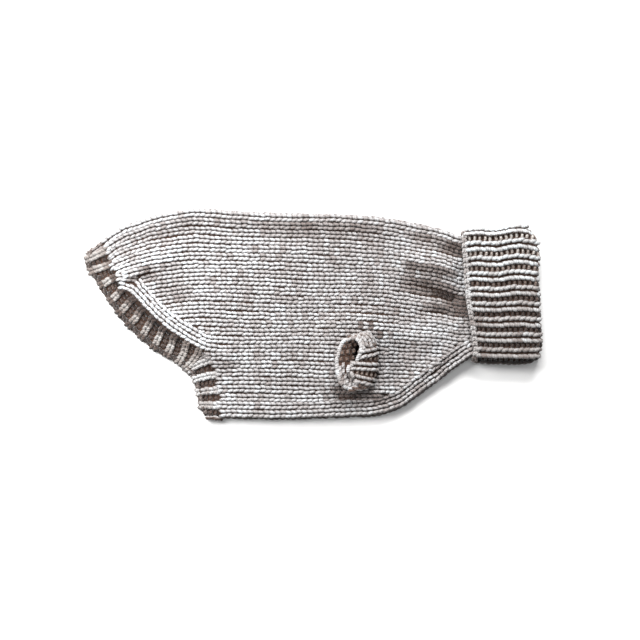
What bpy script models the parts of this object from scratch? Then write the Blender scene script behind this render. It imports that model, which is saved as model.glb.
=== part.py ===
"""A small dog's knitted sweater, laid flat on its right side up: a stockinette body tube, a rib collar
folded over once, rib bands round the rump and the belly, and a short rib cuff at each foreleg.
Sizes are in millimetres and become metres where the meshes are made. +X points to the neck, +Y to the
dog's back and +Z up from the table. The origin is on the table, under the middle of the sweater.
"""

import math
from collections import namedtuple

import bmesh
import bpy
import numpy as np

MM = 0.001

# Cloth
WALL = 2.8  # stockinette
RIB_WALL = 3.0  # rib, under its ridges
RIB_RISE = 1.0  # ridge of a rib over its furrows
SEAM = 0.3  # clearance between joined pieces
LAYER_GAP = 2.8  # air between the two sides of the body at its rolled side folds
LEAST_GAP = 0.4  # air between them where a crease dips
PRESS = 2.0  # the upper side sinks this much between the rolls
PRESS_FADE = 20.0  # in this length from a roll
CREASE_SOFTNESS = 0.35  # how softly a crease comes to rest on the layer under it
HALF_PI = math.pi / 2

# Body
BODY_HEIGHT = 2 * WALL + LAYER_GAP
BODY_STATIONS = 42
UPPER_STEPS = (18, 8)  # across the upper side, before and after the flank
UNDER_STEPS = (10, 5)
FOLD_STEPS = 6
EDGE_FADE = 14.0  # how far in from a side fold the puffs and creases reach full height

# Collar
COLLAR_HEIGHT = 15.0  # its four layers
COLLAR_RIBS = 19
COLLAR_LAYER = 3.4  # one rib layer, without the ridges
COLLAR_OVERLAP = 8.0  # from its free edge to the neck seam under it
PUFF_FADE = 12.0  # the body's puffs end in this length before the free edge
CREASE_PASS = 6.0  # its creases end this far under the collar
CREASE_FADE = 8.0
NECK_RISE_LENGTH = 15.0  # in this the body climbs from the table to the neck seam

# Bands
RUMP_RIBS = 23
BELLY_RIBS = 9
FLANK_ROW = 8  # row of REAR where the rump band ends and the belly band starts
RIM_HEIGHT = 6.8  # both layers of a band at its rim
BAND_START = -0.045  # share of a band's width left free at its seam
RIDGE_SHARES = (0.10, 0.32, 0.68, 0.90)  # places of a rib's four points in its period
RIDGE_LEVELS = (0.0, 1.0, 1.0, 0.0)
BAND_EDGE_FADE = 6.0  # length over a side fold in which a band's ridges rise

# Foreleg openings
LEG_X, LEG_Y = 41.6, -35.6
LEG_HALF_LENGTH = 9.6  # along X
LEG_HALF_WIDTH = 23.0  # along Y
OPENING_MARGIN = 1.2  # from the cuff's middle line in to the edge of the opening
CUFF_RIBS = 10
CUFF_WALL = 2.4
POCKET_RISE = 5.2  # the body lies this high over the left cuff
POCKET_MARGIN = 5.0
POCKET_CORNER = 16.0
POCKET_SLOPES = (11.0, 16.0)  # how softly the under side and the upper side come down round it
LEFT_CUFF_REACH = 15.0
LEFT_CUFF_STEPS = 36
OVAL_SQUARENESS = 0.75

Edge = namedtuple("Edge", "x y")
BACK_LINE = [
    Edge(-170.6, 57.6),
    Edge(-157.0, 67.6),
    Edge(-135.0, 76.8),
    Edge(-115.0, 81.6),
    Edge(-97.0, 84.2),
    Edge(-68.0, 83.2),
    Edge(-30.0, 81.4),
    Edge(5.0, 80.2),
    Edge(38.0, 79.0),
    Edge(62.0, 76.4),
    Edge(85.0, 71.8),
    Edge(104.0, 67.4),
    Edge(117.0, 62.2),
    Edge(127.0, 61.4),
    Edge(140.0, 61.2),
]
BELLY_LINE = [
    Edge(-180.0, -83.6),
    Edge(-76.0, -83.6),
    Edge(-20.0, -84.4),
    Edge(30.0, -82.6),
    Edge(48.0, -81.8),
    Edge(62.0, -78.6),
    Edge(72.0, -74.4),
    Edge(84.0, -66.0),
    Edge(100.0, -54.0),
    Edge(115.0, -42.6),
    Edge(122.0, -37.8),
    Edge(129.0, -33.6),
    Edge(140.0, -32.6),
]
# Across the rear end, from the back fold to the belly fold: where the body's cloth ends, and the rim
# of the band outside it.
Rear = namedtuple("Rear", "cloth_x cloth_y rim_x rim_y")
REAR = [
    Rear(-170.6, 57.6, -180.6, 49.4),
    Rear(-165.4, 43.6, -183.0, 38.8),
    Rear(-159.2, 30.8, -175.0, 26.2),
    Rear(-151.2, 18.0, -164.8, 9.8),
    Rear(-138.4, 4.4, -153.2, -6.2),
    Rear(-125.6, -6.8, -139.4, -20.4),
    Rear(-112.0, -17.2, -124.6, -31.8),
    Rear(-98.4, -25.2, -111.0, -39.6),
    Rear(-86.4, -32.4, -103.5, -45.0),
    Rear(-80.0, -42.8, -98.2, -50.4),
    Rear(-77.6, -54.0, -95.2, -58.6),
    Rear(-76.4, -66.8, -92.8, -69.0),
    Rear(-76.1, -75.4, -91.2, -75.8),
    Rear(-76.0, -83.6, -85.2, -82.8),
]
# Puffs (rise above 0) and creases (below 0) of the upper side, each along a line.
Fold = namedtuple("Fold", "from_x from_y to_x to_y half_width rise")
FOLDS = [
    Fold(-148.0, 20.0, -138.0, 10.0, 9.0, 2.8),
    Fold(-126.0, -2.0, -106.0, -15.0, 10.0, 3.2),
    Fold(-91.0, -24.0, -70.0, -33.0, 9.0, 2.8),
    Fold(-153.0, 29.0, -115.0, 43.0, 8.0, 2.4),
    Fold(-153.0, 22.0, -131.0, 15.0, 4.5, -2.6),
    Fold(98.0, 50.0, 98.0, -18.0, 19.0, 3.2),
    Fold(92.0, 58.0, 124.0, 47.0, 5.5, -3.4),
    Fold(80.0, 38.0, 122.0, 28.0, 6.0, 2.0),
    Fold(78.0, 24.0, 126.0, 9.0, 6.5, -4.2),
    Fold(84.0, 1.0, 126.0, -6.0, 5.0, -3.0),
    Fold(44.0, -12.0, 84.0, -27.0, 8.0, 1.8),
    Fold(62.0, -66.0, 110.0, -32.0, 7.0, 1.8),
]
# The collar's outline: its two side edges along X, and its folded end across them.
COLLAR_BACK = [
    Edge(119.0, 66.0),
    Edge(125.0, 67.4),
    Edge(148.0, 67.6),
    Edge(160.0, 70.2),
    Edge(172.0, 69.6),
    Edge(184.0, 66.0),
]
COLLAR_BELLY = [
    Edge(119.0, -37.6),
    Edge(130.0, -38.4),
    Edge(160.0, -39.6),
    Edge(184.0, -39.0),
]
Across = namedtuple("Across", "share x")
COLLAR_FREE_EDGE = [
    Edge(128.2, -38.0),
    Edge(128.8, -30.0),
    Edge(127.6, -17.0),
    Edge(124.0, 4.0),
    Edge(121.6, 30.0),
    Edge(119.2, 66.0),
]
COLLAR_FOLD_EDGE = [
    Across(0.0, 171.0),
    Across(0.05, 176.6),
    Across(0.10, 179.4),
    Across(0.20, 181.4),
    Across(0.33, 180.4),
    Across(0.50, 181.6),
    Across(0.70, 182.4),
    Across(0.92, 182.2),
    Across(0.965, 180.2),
    Across(1.0, 176.4),
]
# The right cuff's rim, anticlockwise from its front: its middle line, and its rise above the body.
Rim = namedtuple("Rim", "degrees x y rise")
RIGHT_CUFF_RIM = [
    Rim(0, 35.0, -38.0, 8.4),
    Rim(40, 37.0, -28.8, 9.4),
    Rim(70, 36.4, -20.8, 8.6),
    Rim(90, 31.4, -16.6, 6.4),
    Rim(112, 25.6, -18.4, 4.8),
    Rim(145, 20.6, -26.8, 4.0),
    Rim(180, 18.4, -38.8, 4.0),
    Rim(218, 19.4, -50.8, 4.2),
    Rim(248, 23.0, -58.4, 4.4),
    Rim(270, 27.4, -61.0, 4.8),
    Rim(294, 31.4, -57.6, 5.8),
    Rim(328, 31.6, -47.6, 7.4),
    Rim(360, 35.0, -38.0, 8.4),
]


def smooth(share):
    """0 to 1 with a soft start and end."""
    share = min(max(share, 0.0), 1.0)
    return share * share * (3 - 2 * share)


def mix(first, second, share):
    return first + (second - first) * share


def through(keys, values, at):
    """A smooth curve through some values: cubic between them, each slope taken from its neighbours."""
    at = min(max(at, keys[0]), keys[-1])
    slopes = np.gradient(np.asarray(values, float), np.asarray(keys, float))
    i = min(int(np.searchsorted(keys, at, side="right")) - 1, len(keys) - 2)
    step = keys[i + 1] - keys[i]
    t = (at - keys[i]) / step
    return (
        values[i] * (1 + 2 * t) * (1 - t) ** 2
        + values[i + 1] * t * t * (3 - 2 * t)
        + step * t * (1 - t) * (slopes[i] * (1 - t) - slopes[i + 1] * t)
    )


def line_y(line, x):
    return through([edge.x for edge in line], [edge.y for edge in line], x)


def across_x(table, share):
    return through([row.share for row in table], [row.x for row in table], share)


def free_edge_x(y):
    return through([edge.y for edge in COLLAR_FREE_EDGE], [edge.x for edge in COLLAR_FREE_EDGE], y)


def rear_shares():
    """How far across the rear end each row of REAR lies, by length along the cloth's edge."""
    points = np.array([(row.cloth_x, row.cloth_y) for row in REAR])
    lengths = np.linalg.norm(np.diff(points, axis=0), axis=1)
    return np.concatenate([[0.0], np.cumsum(lengths)]) / lengths.sum()


REAR_SHARES = rear_shares()
FLANK_SHARE = REAR_SHARES[FLANK_ROW]


def rear_value(column, share):
    return through(REAR_SHARES, [getattr(row, column) for row in REAR], share)


def plan(u, share):
    """A place in the flat outline. u is 0 at the cloth's rear end, 1 at the neck seam and -1 at the
    rim of the bands; share goes from the back fold to the belly fold."""
    cloth_x, cloth_y = rear_value("cloth_x", share), rear_value("cloth_y", share)
    if u <= 0:
        rim_x, rim_y = rear_value("rim_x", share), rear_value("rim_y", share)
        return mix(cloth_x, rim_x, -u), mix(cloth_y, rim_y, -u)
    neck_x = free_edge_x(mix(BACK_LINE[-1].y, BELLY_LINE[-1].y, share)) + COLLAR_OVERLAP
    x = mix(cloth_x, neck_x, u)
    rear_back, rear_belly = line_y(BACK_LINE, cloth_x), line_y(BELLY_LINE, cloth_x)
    rear_fraction = (rear_back - cloth_y) / (rear_back - rear_belly)
    fraction = mix(rear_fraction, share, smooth(u / 0.45))
    return x, mix(line_y(BACK_LINE, x), line_y(BELLY_LINE, x), fraction)


def width_across(u):
    """Length of the flat outline's cross line at u."""
    points = np.array([plan(u, share) for share in np.linspace(0, 1, 25)])
    return float(np.linalg.norm(np.diff(points, axis=0), axis=1).sum())


def pocket(x, y, slope):
    """1 over the left cuff, falling to 0 round it within the slope's length."""
    reach_x = LEG_HALF_LENGTH + LEFT_CUFF_REACH / 2 + POCKET_MARGIN - POCKET_CORNER
    reach_y = LEG_HALF_WIDTH + POCKET_MARGIN - POCKET_CORNER
    off_x = max(abs(x - LEG_X + LEFT_CUFF_REACH / 2) - reach_x, 0.0)
    off_y = max(abs(y - LEG_Y) - reach_y, 0.0)
    return 1 - smooth((math.hypot(off_x, off_y) - POCKET_CORNER) / slope)


def folds_rise(x, y):
    """Height that the puffs and creases add to the upper side."""
    total = 0.0
    for fold in FOLDS:
        start = np.array((fold.from_x, fold.from_y))
        along = np.array((fold.to_x, fold.to_y)) - start
        share = float(np.clip(np.dot((x, y) - start, along) / np.dot(along, along), 0, 1))
        away = math.dist((x, y), start + along * share)
        total += fold.rise * math.exp(-((away / fold.half_width) ** 2))
    return total


def upper_lift(x, y, inward, room):
    """Height of the upper side over its plain level: inward is the distance from the nearest side roll,
    and room is the plain level's air between the two sides."""
    fade = smooth(inward / EDGE_FADE)
    rise = folds_rise(x, y)
    to_edge = free_edge_x(y) - x
    rise *= smooth(to_edge / PUFF_FADE if rise > 0 else (to_edge + CREASE_PASS) / CREASE_FADE)
    lift = (POCKET_RISE * pocket(x, y, POCKET_SLOPES[1]) + rise) * fade
    lift -= PRESS * smooth(inward / PRESS_FADE)
    least = POCKET_RISE * pocket(x, y, POCKET_SLOPES[0]) * fade + LEAST_GAP - room
    return least + CREASE_SOFTNESS * float(np.logaddexp(0.0, (lift - least) / CREASE_SOFTNESS))


def levels(u, share):
    """Underside and upper side of the tube, before puffs: flat on the table, up to the neck seam."""
    x, y = plan(u, share)
    if u <= 0:
        return 0.0, mix(BODY_HEIGHT, RIM_HEIGHT, -u)
    to_collar = free_edge_x(y) - x - 1.0
    under = (COLLAR_LAYER + SEAM) * smooth(1 - to_collar / NECK_RISE_LENGTH)
    neck_top = COLLAR_HEIGHT - COLLAR_LAYER - SEAM
    upper = mix(BODY_HEIGHT, neck_top, smooth(1 - to_collar / (3 * NECK_RISE_LENGTH)))
    return under, upper


def tube_point(u, around, depth, width):
    """A point of the flattened tube. around is a length round it from the back fold's middle, upper
    side first when positive; lengths over half way count from the belly fold. depth goes in from the
    outer face."""
    from_belly = around[0] == "belly"
    length = around[1]
    low, high = levels(u, 1.0 if from_belly else 0.0)
    radius = (high - low) / 2
    turn = min(max(length / radius, -HALF_PI), HALF_PI)
    flat = max(abs(length) - radius * HALF_PI, 0.0)
    inset = radius - (radius - depth) * math.cos(turn) + flat
    share = min(max(inset / width, 0.0), 1.0)
    share = 1 - share if from_belly else share
    x, y = plan(u, share)
    low, high = levels(u, share)
    radius = (high - low) / 2
    z = (low + high) / 2 + (radius - depth) * math.sin(turn)
    if turn > 0:
        lift = upper_lift(x, y, inset - radius, high - low - 2 * WALL) * (1 + min(u, 0.0))
    else:
        lift = POCKET_RISE * pocket(x, y, POCKET_SLOPES[0]) * smooth((inset - radius) / EDGE_FADE)
    return x, y, z + lift


def tube_places(radius, width):
    """Where a body ring has its points: the upper side, the belly fold, the under side, the back fold."""
    quarter = radius * HALF_PI
    flat = width - 2 * radius
    flank = width * FLANK_SHARE - radius
    turns = np.linspace(1, -1, FOLD_STEPS + 1)[1:-1] * quarter
    places = []
    for upper, (before, after) in ((1, UPPER_STEPS), (-1, UNDER_STEPS)):
        insets = [*np.linspace(0, flank, before + 1), *np.linspace(flank, flat, after + 1)[1:]]
        if upper == -1:
            insets.reverse()
        for inset in insets:
            near_back = inset <= flat / 2
            along = inset if near_back else flat - inset
            places.append(("back" if near_back else "belly", upper * (quarter + along)))
        places += [("belly" if upper == 1 else "back", upper * turn) for turn in turns]
    return places


def rib_level(share_of_rib):
    return float(np.interp(share_of_rib, RIDGE_SHARES, RIDGE_LEVELS))


def rib_shares(ribs):
    """Places of the rib points over the whole width of some ribs, as shares of it."""
    return [(rib + part) / ribs for rib in range(ribs) for part in RIDGE_SHARES]


def wool(name, colour):
    material = bpy.data.materials.new(name)
    material.use_nodes = True
    shader = material.node_tree.nodes["Principled BSDF"]
    shader.inputs["Base Color"].default_value = (*colour, 1.0)
    shader.inputs["Roughness"].default_value = 0.9
    shader.inputs["Metallic"].default_value = 0.0
    return material


def closed_solid(name, rings, colour, ring_closed=True, ends_joined=False):
    """One closed body through rings of equal length: rings lie one after another, and each ring is a
    loop. Its two ends are filled, or joined to each other."""
    mesh = bmesh.new()
    rows = [[mesh.verts.new(np.array(point) * MM) for point in ring] for ring in rings]
    pairs = list(zip(rows, rows[1:]))
    if ends_joined:
        pairs.append((rows[-1], rows[0]))
    for first, second in pairs:
        count = len(first) if ring_closed else len(first) - 1
        for i in range(count):
            j = (i + 1) % len(first)
            mesh.faces.new((first[i], first[j], second[j], second[i]))
    if not ends_joined:
        mesh.faces.new(rows[0])
        mesh.faces.new(rows[-1])
    bmesh.ops.triangulate(mesh, faces=mesh.faces[:])
    bmesh.ops.recalc_face_normals(mesh, faces=mesh.faces[:])
    data = bpy.data.meshes.new(name)
    mesh.to_mesh(data)
    mesh.free()
    data.shade_smooth()
    data.set_sharp_from_angle(angle=math.radians(60))
    data.materials.append(wool(name + "_wool", colour))
    made = bpy.data.objects.new(name, data)
    bpy.context.collection.objects.link(made)
    return made


def leg_cutter(name, low, high):
    """An upright oval bar that cuts a foreleg opening between two heights."""
    steps = 28
    ring = [
        (
            LEG_X + (LEG_HALF_LENGTH - OPENING_MARGIN) * math.cos(turn),
            LEG_Y + (LEG_HALF_WIDTH - OPENING_MARGIN) * math.sin(turn),
        )
        for turn in np.linspace(0, 2 * math.pi, steps, endpoint=False)
    ]
    cutter = closed_solid(name, [[(x, y, z) for x, y in ring] for z in (low, high)], (0.5, 0.5, 0.5))
    cutter.hide_render = True
    cutter.display_type = "WIRE"
    return cutter


def make_body():
    """The stockinette tube: its rear end follows REAR, its front end is the neck seam."""
    rings = []
    for station in np.linspace(0, 1, BODY_STATIONS):
        # Stations lie closer at the rump and at the neck, where the cloth puffs and creases.
        u = mix(station, (1 - math.cos(math.pi * station)) / 2, 0.45)
        width = width_across(u)
        low, high = levels(u, 0.5)
        places = tube_places((high - low) / 2, width)
        rings.append(
            (
                [tube_point(u, place, 0.0, width) for place in places],
                [tube_point(u, place, WALL, width) for place in places],
            )
        )
    outer = [ring for ring, _ in rings]
    inner = [ring for _, ring in reversed(rings)]
    body = closed_solid("body", outer + inner, (0.47, 0.45, 0.44), ends_joined=True)
    middle = POCKET_RISE + BODY_HEIGHT / 2
    for side, low, high in (("right", middle, 40.0), ("left", -10.0, middle)):
        cut = body.modifiers.new(side + "_foreleg", "BOOLEAN")
        cut.operation = "DIFFERENCE"
        cut.object = leg_cutter(side + "_foreleg_cutter", low, high)
    return body


def make_band(name, fold, ribs, reach):
    """A rib band outside the body's rear end, from one flank round a side fold to the other flank.
    reach is its length from that fold's middle to the flank."""
    width = width_across(0.0)
    sections = []
    for share in [0.0] + rib_shares(ribs) + [1.0]:
        length = mix(reach, -reach, share)
        level = rib_level(share * ribs % 1)
        upper = smooth((length + BAND_EDGE_FADE) / BAND_EDGE_FADE)
        ridge = RIB_RISE * level * upper
        section = []
        for w, depth in (
            (BAND_START, 0.0),
            (-0.35, -ridge),
            (-0.7, -ridge),
            (-0.95, -ridge * 0.8),
            (-1.0, 0.5),
            (-1.0, RIB_WALL - 0.4),
            (-0.95, RIB_WALL),
            (-0.5, RIB_WALL),
            (BAND_START, RIB_WALL),
        ):
            # The rim's side folds are tighter than the body's, so less of its length goes into them.
            slack = (BODY_HEIGHT - RIM_HEIGHT) / 2 * w * (HALF_PI - 1)
            section.append(tube_point(w, (fold, length * (1 + slack / reach)), depth, width))
        sections.append(section)
    return closed_solid(name, sections, (0.36, 0.34, 0.33))


def collar_point(around, profile):
    """A point of the collar. around is a share of the way round from the back fold, over the upper side;
    profile is (x between the free edge and the folded end, reach past it, depth from the outer face)."""
    along, past, depth = profile
    upper = around <= 0.5
    half = around * 2 if upper else (1 - around) * 2
    from_belly = half > 0.5
    radius = COLLAR_HEIGHT / 2
    back, belly = line_y(COLLAR_BACK, 150.0), line_y(COLLAR_BELLY, 150.0)
    width = back - belly
    length = (min(half, 1 - half)) * (width - 2 * radius + math.pi * radius)
    turn = min(length / radius, HALF_PI)
    flat = max(length - radius * HALF_PI, 0.0)
    inset = radius - (radius - depth) * math.cos(turn) + flat
    share = inset / width
    share = 1 - share if from_belly else share
    share = min(max(share, 0.0), 1.0)
    free = free_edge_x(mix(back, belly, share))
    fold = across_x(COLLAR_FOLD_EDGE, share) - COLLAR_LAYER - SEAM / 2 - 0.7 * RIB_RISE
    x = mix(free, fold, along) + past
    y = mix(line_y(COLLAR_BACK, x), line_y(COLLAR_BELLY, x), share)
    z = radius + (radius - depth) * math.sin(turn) * (1 if upper else -1)
    return x, y, z


def collar_profile(ridge):
    """The collar's wall from its free edge, round the folded end and back to the neck seam."""
    turn_radius = COLLAR_LAYER + SEAM / 2
    inner_face = 2 * COLLAR_LAYER + SEAM
    neck = "neck"
    profile = [(0.0, 0.0, 0.6), (0.0, 0.6, -ridge * 0.7)]
    profile += [(along, 0.0, -ridge) for along in (0.15, 0.38, 0.6, 0.82, 1.0)]
    for turn in (35, 70, 105, 145):
        push = turn_radius + ridge * max(math.cos(math.radians(turn)), 0.0) + ridge * 0.5 * (turn < 90)
        profile.append(
            (
                1.0,
                push * math.sin(math.radians(turn)),
                turn_radius - push * math.cos(math.radians(turn)),
            )
        )
    profile += [(1.0, 0.0, inner_face), (0.5, 0.0, inner_face), (neck, 0.0, inner_face)]
    profile += [(neck, 0.0, COLLAR_LAYER + SEAM), (0.5, 0.0, COLLAR_LAYER + SEAM)]
    profile += [(0.98, 0.0, COLLAR_LAYER + SEAM), (1.0, 0.0, COLLAR_LAYER + SEAM / 2)]
    profile += [(0.98, 0.0, COLLAR_LAYER), (0.5, 0.0, COLLAR_LAYER), (0.0, 0.0, COLLAR_LAYER - 0.5)]
    return profile


def make_collar():
    """A rib tube folded back over itself; its free edge covers the neck seam."""
    sections = []
    for around in rib_shares(COLLAR_RIBS):
        level = rib_level(around * COLLAR_RIBS % 1)
        under = smooth((around - 0.5) / 0.03) * smooth((1.0 - around) / 0.03)
        section = []
        for along, past, depth in collar_profile(RIB_RISE * level * (1 - under)):
            if along == "neck":
                along, past = 0.0, COLLAR_OVERLAP + SEAM
            section.append(collar_point(around, (along, past, depth)))
        sections.append(section)
    return closed_solid("collar", sections, (0.33, 0.30, 0.28), ends_joined=True)


def leg_base(turn):
    return LEG_X + LEG_HALF_LENGTH * math.cos(turn), LEG_Y + LEG_HALF_WIDTH * math.sin(turn)


def body_top(x, y):
    """Height of the body's upper face near the foreleg."""
    far_in = PRESS_FADE + EDGE_FADE
    return BODY_HEIGHT + upper_lift(x, y, far_in, LAYER_GAP)


def swept_cuff(name, centre_lines, ridge_rise):
    """A short rib tube through rings of middle points, with its wall set off on both sides of them."""
    rings = np.array(centre_lines)
    along = np.gradient(rings, axis=0)
    around = (np.roll(rings, -1, axis=1) - np.roll(rings, 1, axis=1)) / 2
    out = np.cross(around, along)
    out /= np.linalg.norm(out, axis=2)[:, :, None]
    middle = rings.mean(axis=(0, 1))
    if (out[0] * (rings[0] - middle)).sum() < 0:
        out = -out
    shares = rib_shares(CUFF_RIBS)
    ridges = np.array([rib_level(share * CUFF_RIBS % 1) for share in shares]) * ridge_rise
    ends = np.array([0.0] + [1.0] * (len(rings) - 2) + [0.6])[:, None]
    outer = rings + out * (CUFF_WALL / 2 + ridges[None, :] * ends)[:, :, None]
    inner = rings - out * CUFF_WALL / 2
    outer[0, :, 2] = inner[0, :, 2] = rings[0, :, 2]
    loops = list(outer) + list(inner[::-1])
    return closed_solid(name, loops, (0.45, 0.43, 0.42), ends_joined=True)


def make_right_cuff():
    """The cuff that shows: it stands up from its opening and leans to the rear, its mouth half shut."""
    rings = []
    degrees = [row.degrees for row in RIGHT_CUFF_RIM]
    for share in (0.0, 0.12, 0.3, 0.5, 0.75, 1.0):
        ring = []
        for part in rib_shares(CUFF_RIBS):
            turn = part * 2 * math.pi
            base_x, base_y = leg_base(turn)
            rim = [
                through(degrees, [getattr(row, column) for row in RIGHT_CUFF_RIM], part * 360)
                for column in ("x", "y", "rise")
            ]
            lean = share * share * (2 - share) if share < 1 else 1.0
            x, y = mix(base_x, rim[0], lean), mix(base_y, rim[1], lean)
            ground = mix(body_top(base_x, base_y), body_top(x, y), lean)
            rise = mix(rim[2], 0.0, (1 - share) ** 2.4)
            ring.append((x, y, ground + 2 * SEAM + rise))
        rings.append(ring)
    return swept_cuff("cuff_right", rings, RIB_RISE * 0.8)


def squashed_oval(grow, rear_reach=0.0):
    """The left cuff's flat outline, grown or shrunk, with its rear half drawn out to the rear."""
    half_x = LEG_HALF_LENGTH + LEFT_CUFF_REACH / 2 + grow
    half_y = LEG_HALF_WIDTH + grow
    points = []
    for turn in np.linspace(0, 2 * math.pi, LEFT_CUFF_STEPS, endpoint=False):
        cosine, sine = math.cos(turn), math.sin(turn)
        x = half_x * math.copysign(abs(cosine) ** OVAL_SQUARENESS, cosine)
        y = half_y * math.copysign(abs(sine) ** OVAL_SQUARENESS, sine)
        x -= rear_reach * smooth(-cosine * 3)
        points.append((LEG_X - LEFT_CUFF_REACH / 2 + x, LEG_Y + y))
    return points


def make_left_cuff():
    """Its pair, pressed flat between the body and the table: a squashed tube, its mouth to the rear."""
    top = POCKET_RISE - SEAM
    edge = ((-1.0, 0.0), (0.4, 0.4), (1.0, 1.4), (1.0, top - 1.4), (0.4, top - 0.4), (-1.0, top))
    outside = [[(x, y, z) for x, y in squashed_oval(grow)] for grow, z in edge]
    cuff = closed_solid("cuff_left", outside, (0.42, 0.40, 0.39))
    passage = [
        [(x, y, z) for x, y in squashed_oval(1.0 - CUFF_WALL, rear_reach=8.0)]
        for z in (CUFF_WALL - 0.3, top - CUFF_WALL + 0.3)
    ]
    inside = closed_solid("cuff_left_passage", passage, (0.5, 0.5, 0.5))
    way_in = leg_cutter("cuff_left_way_in", CUFF_WALL, 2 * POCKET_RISE)
    for cutter in (inside, way_in):
        cutter.hide_render = True
        cutter.display_type = "WIRE"
        cut = cuff.modifiers.new(cutter.name, "BOOLEAN")
        cut.operation = "DIFFERENCE"
        cut.object = cutter


def clear_scene():
    for thing in list(bpy.data.objects):
        bpy.data.objects.remove(thing, do_unlink=True)


def build():
    clear_scene()
    make_body()
    make_collar()
    width = width_across(0.0)
    quarter = BODY_HEIGHT / 2 * (HALF_PI - 1)
    make_band("tail_hem", "back", RUMP_RIBS, width * FLANK_SHARE + quarter - SEAM / 2)
    make_band("belly_band", "belly", BELLY_RIBS, width * (1 - FLANK_SHARE) + quarter - SEAM / 2)
    make_right_cuff()
    make_left_cuff()


build()
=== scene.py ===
"""The looks of a small dog's knitted sweater, laid flat: wool stitches on thin walls of cloth.
Sizes are in millimetres and become metres where a mesh is made."""

import math
from collections import namedtuple

import bmesh
import bpy
import numpy as np
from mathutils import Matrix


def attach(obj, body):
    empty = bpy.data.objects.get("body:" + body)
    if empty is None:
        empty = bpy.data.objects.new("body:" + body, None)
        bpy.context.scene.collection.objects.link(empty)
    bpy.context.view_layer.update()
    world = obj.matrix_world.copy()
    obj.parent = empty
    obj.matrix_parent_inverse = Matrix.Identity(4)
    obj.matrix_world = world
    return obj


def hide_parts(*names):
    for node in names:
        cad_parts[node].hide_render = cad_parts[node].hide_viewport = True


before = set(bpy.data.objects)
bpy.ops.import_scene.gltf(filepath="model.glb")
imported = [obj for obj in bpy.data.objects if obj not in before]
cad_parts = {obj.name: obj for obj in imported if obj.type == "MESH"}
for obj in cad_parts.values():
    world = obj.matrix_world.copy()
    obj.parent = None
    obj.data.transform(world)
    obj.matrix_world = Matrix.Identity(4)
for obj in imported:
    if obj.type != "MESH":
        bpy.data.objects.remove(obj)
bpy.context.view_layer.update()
MM = 0.001

# ---- Table, light and camera ----
# The sweater lies on a plain pale table. A wide soft window stands beyond the dog's back, a small lamp
# lights the rump from beside it, a weak light hangs overhead, and the camera looks straight down.

TABLE_REACH = 1.6
VIEW_CENTRE_X, VIEW_CENTRE_Y = 5.6, -5.2
VIEW_WIDTH = 512.0
CAMERA_HEIGHT = 1507.0
CAMERA_TO_CLOTH = 1500.0
Light = namedtuple("Light", "name place aim size_x size_y watts colour")
LIGHTS = [
    Light("window", (0.13, 0.86, 0.60), (-0.02, 0, 0), 0.7, 0.3, 20.5, (1.0, 0.995, 0.985)),
    Light("lamp", (-0.38, 0.20, 0.40), (-0.15, 0.02, 0), 0.3, 0.3, 5.5, (1.0, 0.995, 0.985)),
    Light("ceiling", (0.1, 0.2, 1.9), (0, 0, 0), 1.2, 1.2, 6.0, (0.98, 0.99, 1.0)),
]


def add_object(name, data):
    made = bpy.data.objects.new(name, data)
    bpy.context.collection.objects.link(made)
    return made


floor_mesh = bpy.data.meshes.new("table")
corners = [(x * TABLE_REACH, y * TABLE_REACH, 0) for x, y in ((-1, -1), (1, -1), (1, 1), (-1, 1))]
floor_mesh.from_pydata(corners, [], [(0, 1, 2, 3)])
table = add_object("table", floor_mesh)
table_paint = bpy.data.materials.new("table_paint")
table_paint.use_nodes = True
table_shader = table_paint.node_tree.nodes["Principled BSDF"]
table_shader.inputs["Base Color"].default_value = (0.90, 0.90, 0.90, 1)
table_shader.inputs["Roughness"].default_value = 0.9
floor_mesh.materials.append(table_paint)

for light in LIGHTS:
    data = bpy.data.lights.new(light.name, "AREA")
    data.shape = "RECTANGLE"
    data.size, data.size_y = light.size_x, light.size_y
    data.energy, data.color = light.watts, light.colour
    hung = add_object(light.name, data)
    hung.location = light.place
    way = np.array(light.aim) - np.array(light.place)
    tilt = math.atan2(math.hypot(way[0], way[1]), -way[2])
    hung.rotation_euler = (tilt, 0.0, math.atan2(way[1], way[0]) - math.pi / 2)

world = bpy.data.worlds.new("room")
world.use_nodes = True
world.node_tree.nodes["Background"].inputs["Color"].default_value = (1, 1, 1, 1)
world.node_tree.nodes["Background"].inputs["Strength"].default_value = 0.25
bpy.context.scene.world = world
bpy.context.scene.view_settings.view_transform = "Standard"

camera_data = bpy.data.cameras.new("camera")
camera_data.sensor_width = 36.0
camera_data.lens = camera_data.sensor_width * CAMERA_TO_CLOTH / VIEW_WIDTH
camera = add_object("camera", camera_data)
camera.location = (VIEW_CENTRE_X * MM, VIEW_CENTRE_Y * MM, CAMERA_HEIGHT * MM)
bpy.context.scene.camera = camera

# ---- Body: form ----
# A stockinette tube of aran wool, knitted from the neck to the rump and laid flat on its left side. It
# widens along the chest line and narrows along the slanted rump edge.

# Layers: the body is two walls with air between. Less high at its rims, and higher at the neck seam,
# where the folded collar's four layers come over it.
WALL = 2.8
SEAM = 0.3
LAYER_GAP, LEAST_GAP = 2.8, 0.4
BODY_HEIGHT = 2 * WALL + LAYER_GAP
RIM_HEIGHT = 6.8
COLLAR_HEIGHT, COLLAR_LAYER, COLLAR_OVERLAP = 15.0, 3.4, 8.0
NECK_RISE_LENGTH = 15.0
# How deep under the knit's face its thin backing begins and ends; the stitches lie over it.
WALL_DEPTH, WALL_INNER = 1.35, 2.2
# The upper side is pressed a little flat; creases and puffs fade out at the folds and under the collar.
PRESS, PRESS_FADE = 2.0, 20.0
EDGE_FADE, PUFF_FADE = 14.0, 12.0
CREASE_PASS, CREASE_FADE, CREASE_SOFTNESS = 6.0, 8.0, 0.35
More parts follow.
